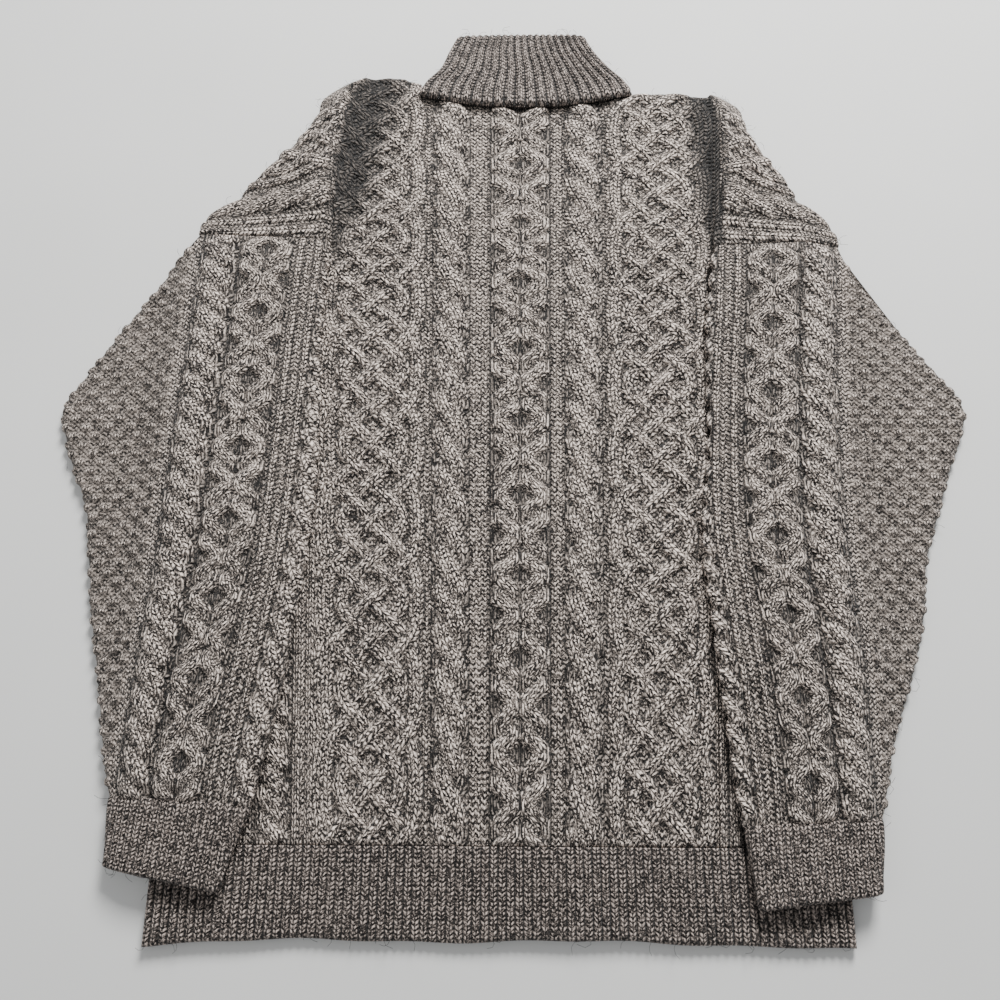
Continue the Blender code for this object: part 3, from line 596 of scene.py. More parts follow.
def body_top(x):
    """Shoulder line, with the neckline scooped out of its middle."""
    reach = (x - NECK_MIDDLE_X) / NECK_HALF
    neck = NECK_LOW + NECK_RISE * reach * reach
    line = np.interp(x, [point[0] for point in SHOULDER_LINE],
                     [point[1] for point in SHOULDER_LINE])
    return np.where((x > SHOULDER_LINE[4][0]) & (x < SHOULDER_LINE[5][0]), neck, line)


# Columns of the back's grid: a few over each hidden flank, many between the two corners.
LEFT_CORNER, RIGHT_CORNER = -0.160, 0.152
MIDDLE_STEP, SIDE_STEP = 0.00160, 0.0021
DRAWN_LEFT, DRAWN_RIGHT = -0.084, 0.0785    # the columns beyond lean out to the ridges
BACK_ROWS_STEP = 0.00166
SETTLE_ROUNDS = 5       # rounds in which the columns and the upper edge find each other

SEAM_Y = (0.1655, 0.1575)   # height of the sleeve seams' inner ends, left and right
SEAM_TONGUE = 5         # columns of the back that go on up under a shoulder at the seam's end
SEAM_TONGUE_RISE = 0.028
SEAM_HEIGHT = 0.0195    # top of the back's slope where a shoulder meets its sleeve
SEAM_BLEND = 0.045      # height over which a shoulder comes to its own shape
SEAM_LAP = 0.0012       # a shoulder's lower edge goes on over the sleeve's end
SEAM_DIP = 0.0011       # depth of the furrow at a seam
SEAM_SHADE = 0.80       # painted shade of the wool in it
SEAM_WIDTH = 0.0040

CLIMB_BELOW = 0.050     # the back starts to climb beside a sleeve this far below its seam
CLIMB_POWER = 2.4       # how late it climbs on its way out to the ridge
RIDGE_LAP = 0.0035      # its edge goes on past the ridge and dips into the shoulder
RIDGE_DIP = 0.0035
FOLD_LAP = 0.0020       # it stays up this far under the sleeve's inner fold

HOLLOW_SHADE = 0.87     # painted shade: how much darker the wool is made in the hollow beside a shoulder's ridge
HOLLOW_REACH = (0.022, 0.010)   # the shade starts this far inside the crease, left and right
HOLLOW_RISE = 0.050     # height above the seam from which the hollow has its full shade
SEAM_HOLLOW = 0.78      # share of the shade that is left at the seam, and
SEAM_REACH = 0.4        # share of its reach
FULL_SHADE = 0.62       # share of the way to the ridge at which the shade is deepest
SHADE_END = 0.90        # and at which it begins to fade
RIDGE_SHADE = 0.5       # the shade on the ridge itself, lost over this width
RIDGE_SHADE_WIDTH = 0.0045


def back_stations():
    """Places across the back in pattern widths, with the numbers of the two corners."""
    left = np.concatenate((np.linspace(-0.268, -0.215, 4), even(-0.207, LEFT_CORNER, SIDE_STEP)))
    middle = even(LEFT_CORNER, RIGHT_CORNER, MIDDLE_STEP)[1:]
    right = np.concatenate((even(RIGHT_CORNER, 0.172, SIDE_STEP)[1:],
                            np.linspace(0.178, 0.236, 9)))
    left_corner = len(left) - 1
    return np.concatenate((left, middle, right)), left_corner, left_corner + len(middle)


def back_places():
    """The back's grid, with its column numbers and those of the corners."""
    stations, left_corner, right_corner = back_stations()
    shares = np.linspace(0.0, 1.0, round((NECK_LOW - HEM_TOP) / BACK_ROWS_STEP))
    share, station = np.meshgrid(shares, stations, indexing="ij")
    number = np.arange(len(stations))[None, :]
    between = (number >= left_corner) & (number <= right_corner)
    y = lerp(HEM_TOP, NECK_LOW, share)
    for _ in range(SETTLE_ROUNDS):
        x = np.clip(PATTERN_X + station * pattern_width(y), BODY_LEFT, BODY_RIGHT)
        for table, corner, drawn in ((SHOULDER_LEFT, LEFT_CORNER, DRAWN_LEFT),
                                     (SHOULDER_RIGHT, RIGHT_CORNER, DRAWN_RIGHT)):
            edge = column(table, "y", "ridge", y) + RIDGE_LAP * side_of(corner)
            start = PATTERN_X + drawn
            end = PATTERN_X + corner * pattern_width(NECK_LOW)
            share_out = np.clip((x - start) / (end - start), 0.0, 1.0)
            beyond = between & (np.sign(corner) * (x - start) > 0.0)
            x = np.where(beyond, lerp(start, edge, share_out), x)
        y = lerp(HEM_TOP + SEAM_GAP / 2.0, body_top(x) - SEAM_GAP, share)
    return x, y, number, left_corner, right_corner


def shade_strength(table, y):
    """The shade in a hollow is weaker near the sleeve's seam and ends below it."""
    above = y - table[0].y
    return (lerp(SEAM_HOLLOW, 1.0, smooth(above / HOLLOW_RISE))
            * smooth(above / CLIMB_BELOW + 1.0))


def painted_hollow_shade(share, strength):
    """Painted shade in the hollow; share is 0 at its crease and 1 on the ridge."""
    depth = smooth(share / FULL_SHADE) * (1.0 - smooth((share - SHADE_END) / 0.10))
    return 1.0 - HOLLOW_SHADE * depth * strength


def climb(table, sleeve, x, y):
    """Height to which the back is drawn up beside a shoulder and the top of its sleeve, how
    far up that slope a place is, how far past the ridge, and the painted shade in its hollow."""
    side = side_of(table[0].outer)
    above = y - table[0].y
    foot = side * column(table, "y", "crease", y)
    own = smooth(above / SEAM_BLEND)
    ridge = lerp(abs(sleeve[0].inner_x) + TUBE_HALF, side * column(table, "y", "ridge", y), own)
    top = lerp(SEAM_HEIGHT, column(table, "y", "ridge_height", y), own)
    share = np.clip((side * x - foot) / (ridge - foot), 0.0, 1.0)
    past = np.clip((side * x - ridge) / RIDGE_LAP, 0.0, 1.0)
    fade = smooth((above + CLIMB_BELOW) / CLIMB_BELOW)
    lift = ((top - BACK_GROUND) * share ** CLIMB_POWER - RIDGE_DIP * past ** 2) * fade
    edge = side * column(sleeve, "inner_y", "inner_x", y) + FOLD_LAP
    under = (y < table[0].y - SEAM_SLANT) & (side * x > edge)
    reach = HOLLOW_REACH[0 if side < 0.0 else 1]
    reach = reach * lerp(SEAM_REACH, 1.0, smooth(above / HOLLOW_RISE))
    shaded = np.clip((side * x - foot + reach) / (ridge - foot + reach), 0.0, 1.0)
    tone = painted_hollow_shade(shaded, shade_strength(table, y))
    return [np.where(under, 0.0, value) for value in (lift, share * fade, past * fade)] + [tone]


def below_seam(beside, tongue, y, seam_y):
    """Faces that stay: those between the corners, and beside them those below the seam."""
    return ~beside | (y < seam_y + np.where(tongue, SEAM_TONGUE_RISE, 0.0))


EDGE_LIFT = 0.0006      # a panel's rounded edge ends this far above its underside


def lay_back():
    """The back panel, with all its cables."""
    x, y, number, left_corner, right_corner = back_places()
    cloth = Cloth(x.shape[1], x.shape[0])
    cloth.strands = body_strands()
    cloth.across = (x - PATTERN_X) / pattern_width(y)
    cloth.rows = rows_up(y)
    relief, _, cloth.tone = lay_strands(cloth.strands, cloth.across, cloth.rows)
    cloth.purl[:] = 1.0
    lift = soft_folds(BODY_FOLDS, x, y) * edge_round(y - HEM_TOP, 0.03)
    relief = relief * edge_round(y - HEM_TOP, 0.005)
    z = BACK_GROUND + CABLE_RISE * relief + np.maximum(lift, -0.0015)
    for table, sleeve in ((SHOULDER_LEFT, SLEEVE_LEFT), (SHOULDER_RIGHT, SLEEVE_RIGHT)):
        up, share, past, tone = climb(table, sleeve, x, y)
        z = z + up - CABLE_RISE * relief * np.maximum(share * 0.8, past)
        # painted shade in the hollow beside each shoulder's ridge
        cloth.tone *= tone
    z = lerp(BACK_UNDERSIDE + EDGE_LIFT, z, edge_round(body_top(x) - y + EDGE_LIFT, 0.007))
    face_y, face = y[1:, :-1], number[:, :-1]
    keep = below_seam(face < left_corner, face >= left_corner - SEAM_TONGUE, face_y, SEAM_Y[0])
    keep &= below_seam(face >= right_corner, face < right_corner + SEAM_TONGUE, face_y,
                       SEAM_Y[1])
    return cloth.finish("back_knit", np.stack((x, y, z), axis=2), keep, BACK_UNDERSIDE)


def lay_front():
    """The hidden front panel, plain."""
    xs = np.concatenate((np.linspace(BODY_LEFT, -0.153, 12), np.linspace(-0.145, 0.165, 40),
                         np.linspace(0.176, BODY_RIGHT, 8)))
    share, x = np.meshgrid(np.linspace(0.0, 1.0, 90), xs, indexing="ij")
    y = lerp(HEM_TOP + SEAM_GAP / 2.0, body_top(x) - 0.002, share)
    cloth = Cloth(x.shape[1], x.shape[0])
    cloth.across = x
    cloth.rows = rows_up(y)
    z = lerp(EDGE_LIFT, WALL, edge_round(body_top(x) - y, 0.006))
    face_y = y[1:, :-1]
    keep = (x[1:, :-1] >= -0.155) | (face_y <= SEAM_Y[0])
    keep &= (x[1:, 1:] <= 0.178) | (face_y <= SEAM_Y[1])
    return cloth.finish("front_knit", np.stack((x, y, z), axis=2), keep, 0.0)


# ---- ribbing ----

RIB_FURROW_SHADE = 0.34       # painted shade of the wool between two ribs


def rib_relief(share):
    """Rounded rib and narrow furrow over one pitch, with painted shade in the furrow."""
    distance = np.abs((share % 1.0) - 0.5) / 0.40
    height = np.clip(1.0 - distance ** 2, 0.0, 1.0) ** 0.6
    return height, lerp(RIB_FURROW_SHADE, 1.0, np.clip(height / 0.6, 0.0, 1.0))


HEM_RIBS = 82
HEM_SHADE = 0.84        # the hem's wool lies in softer light
HEM_RISE = 0.0022       # height of its ribs
HEM_ROUND = 0.0032      # roundness of its lower edge and its ends


def hem_edge(x):
    """The hem's lower edge, a little uneven and drawn down at both corners."""
    middle = (HEM_LEFT + HEM_RIGHT) / 2.0
    reach = (x - middle) / (HEM_RIGHT - middle)
    wave = 0.0010 * np.sin(x * 31.0) + 0.0006 * np.sin(x * 83.0 + 1.0)
    return HEM_BOTTOM - HEM_CORNER_DROP * reach ** 4 + wave


def lay_hem(name, underside, step):
    """Ribbed band along the bottom; its lower edge and its ends are rounded."""
    ends = np.array([0.0, 0.0004, 0.0010, 0.0020])
    xs = np.concatenate((HEM_LEFT + ends, even(HEM_LEFT + 0.003, HEM_RIGHT - 0.003, step),
                         HEM_RIGHT - ends[::-1]))
    shares = np.concatenate(((0.0, 0.006, 0.018, 0.036), even(0.06, 1.0, step * 32.0)))
    share, x = np.meshgrid(shares, xs, indexing="ij")
    y = lerp(hem_edge(x), HEM_TOP - SEAM_GAP / 2.0, share)
    cloth = Cloth(len(xs), len(shares))
    place = (x - HEM_LEFT) / (HEM_RIGHT - HEM_LEFT) * HEM_RIBS
    height, cloth.tone = rib_relief(place)
    cloth.tone = cloth.tone * HEM_SHADE
    height = height * edge_round(HEM_TOP + 0.0015 - y, 0.005)
    cloth.across = place * STITCH
    cloth.rows = (y - HEM_BOTTOM) / RIB_ROW
    inside = np.minimum(edge_round(y - hem_edge(x), HEM_ROUND),
                        edge_round(np.minimum(x - HEM_LEFT, HEM_RIGHT - x), HEM_ROUND))
    sag = 0.0012 * np.sin(x * 23.0 + 0.6) * (1.0 - share)
    top = underside + WALL - 0.0006 + HEM_RISE * height + np.maximum(sag, -0.0006)
    z = lerp(underside + 0.0004, top, inside)
    return cloth.finish(name, np.stack((x, y, z), axis=2), None, underside)


# ---- sleeves and cuffs ----

FOLD_STEPS = 9          # points round each fold of a flattened tube
INNER_ROWS = 5          # rows along its inner face
SHOWN_FOLD = 2.4        # the pattern goes on round a fold up to this angle from its top
# painted shade on a tube's inner face
INSIDE_SHADE = 0.45


def rest_height(x, kink):
    """Underside of a sleeve: up on the body, and down to the floor beyond the kink."""
    return SLEEVE_REST * (1.0 - smooth((x - kink) * side_of(kink) / RAMP))


def tube_profile(length, top_count, bottom_count, half):
    """Once round a flattened tube, for each of its rows' lengths.

    Starts under the inner fold, goes over the top to the outer fold and back below. Gives the
    distance from the inner edge, the height, the arc from the top, the outward direction
    sideways and upwards, and 1 where the pattern shows.
    """
    angles = np.linspace(math.pi, 0.0, FOLD_STEPS)
    back = angles[::-1]
    top = np.linspace(0.0, 1.0, top_count)[None, 1:-1]
    bottom = np.linspace(1.0, 0.0, bottom_count)[None, 1:-1]
    span = length - 2.0 * TUBE_HALF
    one = np.ones(length.shape)
    flat_top, flat_bottom = 0.0 * top, 0.0 * bottom

    def once_round(*parts):
        ring = np.concatenate([one * part for part in parts], axis=1)
        return np.concatenate((ring, ring[:, :1]), axis=1)

    return (once_round(TUBE_HALF - half * np.sin(angles), TUBE_HALF + span * top,
                       length - TUBE_HALF + half * np.sin(back), TUBE_HALF + span * bottom),
            once_round(half * np.cos(angles), half * (flat_top + 1.0),
                       half * np.cos(back), half * (flat_bottom - 1.0)),
            once_round(TUBE_HALF - TUBE_HALF * angles, TUBE_HALF + span * top,
                       length - TUBE_HALF + TUBE_HALF * back, TUBE_HALF + span * bottom),
            once_round(-np.sin(angles), flat_top, np.sin(back), flat_bottom),
            once_round(np.cos(angles), flat_top + 1.0, np.cos(back), flat_bottom - 1.0),
            once_round(angles < SHOWN_FOLD, flat_top + 1.0, back < SHOWN_FOLD, flat_bottom))


def tube_rows(table, count):
    """Shares along a tube for its outer face, then back along its inner face."""
    share = np.concatenate((np.linspace(0.0, 1.0, count), np.linspace(1.0, 0.0, INNER_ROWS),
                            [0.0]))
    inside = np.concatenate((np.zeros(count), np.ones(INNER_ROWS), [0.0])) > 0.5
    level = [(row.inner_y + row.outer_y) / 2.0 for row in table]
    where = lerp(level[0], level[-1], share)
    fields = [curve(level, [getattr(row, name) for row in table], where)[:, None]
              for name in Section._fields]
    return share[:, None], inside[:, None], Section(*fields)


def lay_tube(name, table, kink, count, top_count, bottom_count, knit):
    """A flattened tube of cloth. knit sets the pattern and gives the relief and the crown."""
    share, inside, section = tube_rows(table, count)
    length = np.hypot(section.outer_x - section.inner_x, section.outer_y - section.inner_y)
    faces = [tube_profile(length, top_count, bottom_count, half)
             for half in (TUBE_HALF, TUBE_HALF - WALL)]
    distance, height, arc, lean, up, on_top = [
        np.where(inside, within, without) for without, within in zip(*faces)]
    side = side_of(kink)
    part = distance / length
    x = lerp(section.inner_x, section.outer_x, part)
    y = lerp(section.inner_y, section.outer_y, part)
    centre = np.clip(distance, TUBE_HALF, length - TUBE_HALF) / length
    support = rest_height(lerp(section.inner_x, section.outer_x, centre), kink)
    cloth = Cloth(x.shape[1], x.shape[0])
    run = abs(table[0].inner_y - table[-1].inner_y)
    cloth.across = arc - np.abs(section.middle_x - section.inner_x)
    cloth.rows = (1.0 - share) * run / ROW + 0.0 * cloth.across
    rise, crown = knit(cloth, share, side, x, y)
    rise = np.where(inside, 0.0, rise * on_top)
    crown = np.where(inside, 0.0, crown * on_top)
    crown *= np.sin(math.pi * np.clip(part, 0.0, 1.0)) ** 0.7
    cloth.tone = np.where(inside, INSIDE_SHADE, cloth.tone)
    points = np.stack((x + side * lean * rise, y, support + TUBE_HALF + height + up * rise
                       + np.maximum(crown, 0.0)), axis=2)
    return cloth.finish(name, points, wrap=True)


SLEEVE_FAN = ((0.0, 1.04), (0.55, 1.02), (0.8, 0.92), (1.0, 0.84))  # share down, pattern's width
BASKET_START = 0.0615   # the basket stitch begins this far outside the sleeve's middle
BASKET_BLOCK = 0.0088   # width of one of its blocks
BASKET_ROWS = 2.0       # and its height in rows
BASKET_LOW, BASKET_RISE = 0.08, 0.48    # a share of a cable's rise, between blocks and on them
# painted shade on the low blocks, painted light on the raised ones
BASKET_SHADE_AND_LIGHT = (0.60, 1.10)
SLEEVE_CROWN = 0.0022   # a sleeve's middle lies this much higher than its folds


def knit_sleeve(cloth, share, side, x, y):
    """Cables down the middle, basket stitch outside them."""
    cloth.across = cloth.across / np.interp(share, *zip(*SLEEVE_FAN))
    cloth.strands = sleeve_strands(side)
    relief, _, cloth.tone = lay_strands(cloth.strands, cloth.across, cloth.rows)
    basket = smooth((cloth.across - BASKET_START) / 0.003)
    wave = (np.sin(math.pi * cloth.across / BASKET_BLOCK)
            * np.sin(math.pi * cloth.rows / BASKET_ROWS))
    block = 0.5 + 0.5 * np.tanh(2.2 * wave)
    cloth.purl = 1.0 - basket * block
    slit = np.exp(-((((cloth.rows / BASKET_ROWS + 0.5) % 1.0) - 0.5) / 0.13) ** 2)
    relief = np.maximum(relief,
                        basket * (BASKET_LOW + BASKET_RISE * block) * (1.0 - 0.7 * slit))
    # painted shade on the low blocks and in the slits, painted light on the raised blocks
    cloth.tone = cloth.tone * lerp(1.0, lerp(*BASKET_SHADE_AND_LIGHT, block) * (1.0 - 0.35 * slit), basket)
    relief = relief * lerp(0.4, 1.0, smooth(share / 0.03))
    ends = edge_round(share, 0.010) * edge_round(1.0 - share, 0.014)
    # painted shade in the furrow at the sleeve's seam
    cloth.tone = cloth.tone * lerp(SEAM_SHADE, 1.0, edge_round(share, 0.007))
    crown = SLEEVE_CROWN + soft_folds(SLEEVE_FOLDS, x, y, side < 0.0)
    crown = crown * smooth(share / 0.06) * smooth((1.0 - share) / 0.03)
    return lerp(-SEAM_DIP, CABLE_RISE * relief - SLEEVE_DIP, ends), crown


CUFF_PITCH = 0.0052     # width of one rib
CUFF_LENGTH = 0.056
CUFF_SHADE = 0.92
CUFF_RISE = 0.0013      # height of a rib
CUFF_ROUND = 0.0018     # how far the mouth and the top edge are rounded in


def knit_cuff(cloth, share, side, x, y):
    """Ribs all round the cuff, rounded at its mouth."""
    place = cloth.across / CUFF_PITCH
    height, tone = rib_relief(place)
    # painted shade in the furrows, softened, and over the whole cuff
    cloth.tone = lerp(0.55, 1.0, tone) * CUFF_SHADE
    cloth.across = place * STITCH
    cloth.rows = (1.0 - share) * CUFF_LENGTH / RIB_ROW + 0.0 * cloth.across
    ends = edge_round(1.0 - share, 0.05) * edge_round(share + 0.01, 0.12)
    return lerp(-CUFF_ROUND, CUFF_RISE * height, ends), 0.0010 * ends


# ---- collar ----

COLLAR_RIBS = 18
COLLAR_COUNT = 190      # columns of the grid over the top
COLLAR_ROWS = 62
COLLAR_HEIGHT = 0.080
COLLAR_ROW = 0.0036
COLLAR_RISE = 0.0024    # height of its ribs
COLLAR_FURROW_SHADE = 0.18    # painted shade of the wool between them
COLLAR_ROLL = 0.0016    # how far its lower edge is rolled out
COLLAR_OVERHANG = 0.0030    # and drawn down over the neckline


def lay_collar():
    """Doubled stand collar: a flattened ring with deep ribs, rolled at its base."""
    half = COLLAR_WALL + TUBE_SLACK / 2.0
    share = np.concatenate((np.linspace(0.0, 1.0, COLLAR_ROWS), [1.0, 0.5, 0.0, 0.0]))[:, None]
    inside = np.concatenate((np.zeros(COLLAR_ROWS), [1.0, 1.0, 1.0, 0.0]))[:, None] > 0.5
    level = lerp(COLLAR[0].y_middle, COLLAR[-1].y_middle, share)
    y_ends, left, right = [column(COLLAR, "y_middle", name, level)
                           for name in ("y_ends", "left", "right")]
    left, right = left + half, right - half
    depth = np.where(inside, half - COLLAR_WALL, half)
    angles = np.linspace(0.0, math.pi, FOLD_STEPS)[None, :]
    top = np.linspace(0.0, 1.0, COLLAR_COUNT)[None, :-1]
    under = np.linspace(1.0, 0.0, 12)[None, 1:-1]
    flat_top, flat_under = 0.0 * top, 0.0 * under

    def once_round(over, right_fold, below, left_fold, end):
        return np.concatenate((over, right_fold, below, left_fold[:, ::-1][:, :-1], end), axis=1)

    x = once_round(lerp(left, right, top), right + depth * np.sin(angles),
                   lerp(left, right, under), left - depth * np.sin(angles), left)
    fold_height = half + depth * np.cos(angles)
    z = once_round(half + depth + flat_top, fold_height, half - depth + flat_under, fold_height,
                   half + depth)
    bend = math.pi * half / (right - left).mean()
    turn = angles / math.pi * bend
    place = once_round(top, 1.0 + turn, 1.0 + bend + 1.0 - under, -turn, [[0.0]]) + 0.0 * x
    up = once_round(1.0 + flat_top, np.cos(angles), -1.0 + flat_under, np.cos(angles),
                    [[1.0]]) + 0.0 * x
    lean = once_round(flat_top, np.sin(angles), flat_under, -np.sin(angles), [[0.0]]) + 0.0 * x
    reach = (x - NECK_MIDDLE_X) / ((right - left) / 2.0 + half)
    y = level + (y_ends - level) * reach * reach
    cloth = Cloth(x.shape[1], x.shape[0])
    place *= COLLAR_RIBS
    height, tone = rib_relief(place)
    cloth.across = place * 2.0 * STITCH
    cloth.rows = share * COLLAR_HEIGHT / COLLAR_ROW + 0.0 * x
    # painted shade in the furrows between ribs, and on the hidden inside
    furrow_shade = lerp(COLLAR_FURROW_SHADE, 1.0, (tone - RIB_FURROW_SHADE) / (1.0 - RIB_FURROW_SHADE))
    cloth.tone = np.where(inside, 0.5, furrow_shade)
    shown = np.where(inside | (up < -0.2), 0.0, 1.0)
    edges = edge_round(1.0 - share, 0.05) * edge_round(share + 0.004, 0.05)
    roll = COLLAR_ROLL * np.exp(-((share - 0.05) / 0.08) ** 2) * edge_round(share + 0.003, 0.07)
    rise = shown * (lerp(-0.0016, COLLAR_RISE * height, edges) + roll)
    outwards = np.clip(up, 0.0, 1.0)
    bulge = shown * 0.0010 * np.sin(math.pi * share) * outwards
    y = y - shown * COLLAR_OVERHANG * np.exp(-(share / 0.05) ** 2) * outwards
    points = np.stack((x + lean * rise, y, z + up * rise + bulge), axis=2)
    return cloth.finish("collar_rib", points, wrap=True)


# ---- dropped shoulders ----

# Corners of a shoulder's section. First value: 0 at the crease, 1 at the ridge, 2 at the outer
# edge. Second: height, as a share of the ridge's up to the ridge and of the edge's after it.
INNER_SLOPE = ((0.82, 0.56), (0.92, 0.86), (1.0, 1.0))
OUTER_SLOPE = ((1.06, 1.01), (1.15, 0.97), (1.35, 0.78), (1.65, 0.50), (1.88, 0.20),
               (1.97, 0.0))
EDGE_LAYERS = ((0.0, 0.70), (-0.0022, 0.50), (0.0, 0.30), (-0.0030, 0.02))
SHOULDER_COLUMNS = 150
SKIN_COLUMNS = 24       # columns on the inner face of a shoulder's cloth
SHOULDER_STEP = 0.00125
SHOULDER_SKIN = 0.0036  # thickness of its cloth
SHOULDER_LEAN = (4.0, 30.0)     # degrees that its pattern leans, at the seam and above
LEAN_RISE = 0.12        # height over which it comes to lean so
SHOULDER_ROW = 40.0     # row of the pattern on the ridge
SHOULDER_RISES = (0.35, 0.85)   # height of its cables beside the back's, at the seam and above


def shoulder_section(row, columns):
    """Points of one section, evenly spaced along it, out from the crease and round the edge."""
    inner, ridge, outer = abs(row.crease), abs(row.ridge), abs(row.outer)
    points = [(lerp(inner, ridge, share), height * row.ridge_height)
              for share, height in INNER_SLOPE]
    points += [(lerp(ridge, outer, share - 1.0),
                lerp(row.outer_height, row.ridge_height, height)) for share, height in OUTER_SLOPE]
    points += [(outer + shift, height * row.outer_height) for shift, height in EDGE_LAYERS]
    points = np.array(points)
    run = np.append(0.0, np.cumsum(np.hypot(*np.diff(points, axis=0).T)))
    places = np.linspace(0.0, run[-1], columns)
    out, up = [curve(run, values, places, 12) for values in points.T]
    return out, up, places, run[len(INNER_SLOPE) - 1]


def seam_section(side, sleeve, kink, columns):
    """The same for the sleeve's end that the shoulder comes down to."""
    inner, outer = abs(sleeve.inner_x) + TUBE_HALF, abs(sleeve.outer_x) - TUBE_HALF
    rising = np.radians(np.linspace(-20.0, 80.0, 8))
    falling = np.radians(np.linspace(80.0, -75.0, 10))
    xs = np.concatenate((inner - TUBE_HALF * np.cos(rising), np.linspace(inner, outer, 24),
                         outer + TUBE_HALF * np.cos(falling)))
    round_up = np.concatenate((np.sin(rising), np.ones(24), np.sin(falling)))
    zs = rest_height(side * np.clip(xs, inner, outer), kink) + TUBE_HALF * (1.0 + round_up)
    run = np.append(0.0, np.cumsum(np.hypot(np.diff(xs), np.diff(zs))))
    places = np.linspace(0.0, run[-1], columns)
    return np.interp(places, run, xs), np.interp(places, run, zs), places, run[len(rising)]


def lay_shoulder(name, table, sleeve, kink):
    """Rolled shoulder: a skin over the roll, with the body's cables running out across it."""
    side = side_of(kink)
    ys = even(table[0].y - SEAM_LAP, table[-1].y, SHOULDER_STEP)
    fields = [column(table, "y", field, ys) for field in Shoulder._fields[1:]]
    seam = seam_section(side, sleeve, kink, SHOULDER_COLUMNS)
    sections = []
    for number, y in enumerate(ys):
        own = shoulder_section(Shoulder(y, *[field[number] for field in fields]),
                               SHOULDER_COLUMNS)
        amount = smooth((y - ys[0]) / SEAM_BLEND)
        sections.append([lerp(low, high, amount) for low, high in zip(seam, own)])
    out, up, place, ridge = [np.array(values) for values in zip(*sections)]
    normal_out, normal_up = -np.gradient(up, axis=1), np.gradient(out, axis=1)
    size = np.hypot(normal_out, normal_up)
    normal_out, normal_up = normal_out / size, normal_up / size
    y = ys[:, None] + 0.0 * out
    above = ys[:, None] - ys[0]
    beyond = place - ridge[:, None]
    lean = np.tan(np.radians(lerp(*SHOULDER_LEAN, smooth(above / LEAN_RISE))))
    outward = above + np.maximum(beyond, 0.0) * lean
    rows = beyond / ROW + SHOULDER_ROW
    cloth = Cloth(SHOULDER_COLUMNS + SKIN_COLUMNS + 1, len(ys))
    cloth.strands = shoulder_strands()
    relief, _, tone = lay_strands(cloth.strands, outward, rows)
    fade = np.clip((place[:, -1:] - place) / 0.012, 0.0, 1.0) * smooth((beyond + 0.001) / 0.006)
    lip = edge_round(above, SEAM_WIDTH)
    calm = smooth(above / SEAM_BLEND * 1.4)
    rise = lerp(-SEAM_DIP, CABLE_RISE * lerp(*SHOULDER_RISES, calm) * relief * fade, lip)
    # near the seam the painted shade of the furrows is softened
    tone = lerp(lerp(0.85, tone, 0.45), tone, calm)
    # painted shade in the hollow below the ridge and along the ridge itself
    crease, crest = [abs(field)[:, None] for field in fields[:2]]
    shaded = np.clip((out - crease) / (crest - crease), 0.0, 1.0)
    strength = shade_strength(table, y)
    on_ridge = 1.0 - smooth(beyond / RIDGE_SHADE_WIDTH)
    tone = tone * painted_hollow_shade(shaded, strength) * (1.0 - RIDGE_SHADE * strength * on_ridge)
    # painted shade in the furrow at the seam
    tone = tone * lerp(SEAM_SHADE, 1.0, lip)
    pick = np.linspace(SHOULDER_COLUMNS - 1, 0, SKIN_COLUMNS).round().astype(int)

    def with_skin(shown, skin):
        return np.concatenate((shown, skin[:, pick], shown[:, :1]), axis=1)

    x = with_skin(out + normal_out * rise, out - normal_out * SHOULDER_SKIN)
    z = with_skin(up + normal_up * rise, np.maximum(up - normal_up * SHOULDER_SKIN, 0.0002))
    y = with_skin(y, y)
    slant = SEAM_SLANT / (abs(table[0].outer) - abs(table[0].crease))
    slant = slant * np.clip(1.0 - (y - ys[0]) / SEAM_FADE, 0.0, 1.0)
    y = y - slant * (abs(table[0].outer) - x)
    pad = ((0, 0), (0, SKIN_COLUMNS + 1))
    cloth.across = np.pad(outward, pad, mode="edge")
    cloth.rows = np.pad(rows, pad, mode="edge")
    # painted shade on the skin's inner face
    cloth.tone = np.pad(tone, pad, mode="constant", constant_values=0.6)
    cloth.purl[:] = 1.0
    piece = cloth.finish(name, np.stack((side * x, y, z), axis=2), wrap=True)
    shell = bmesh.new()
    shell.from_mesh(piece.data)
    bmesh.ops.holes_fill(shell, edges=[edge for edge in shell.edges if edge.is_boundary])
    bmesh.ops.recalc_face_normals(shell, faces=shell.faces)
    shell.to_mesh(piece.data)
    shell.free()
    return piece


# ---- wool ----

class Value:
    """A number in a shader's tree, so that sums can be written out."""

    def __init__(self, wiring, socket):
        self.wiring, self.socket = wiring, socket

    def __add__(self, other):
        return self.wiring.maths("ADD", self, other)

    def __sub__(self, other):
        return self.wiring.maths("SUBTRACT", self, other)

    def __rsub__(self, other):
        return self.wiring.maths("SUBTRACT", other, self)

    def __mul__(self, other):
        return self.wiring.maths("MULTIPLY", self, other)

    def __pow__(self, other):
        return self.wiring.maths("POWER", self, other)


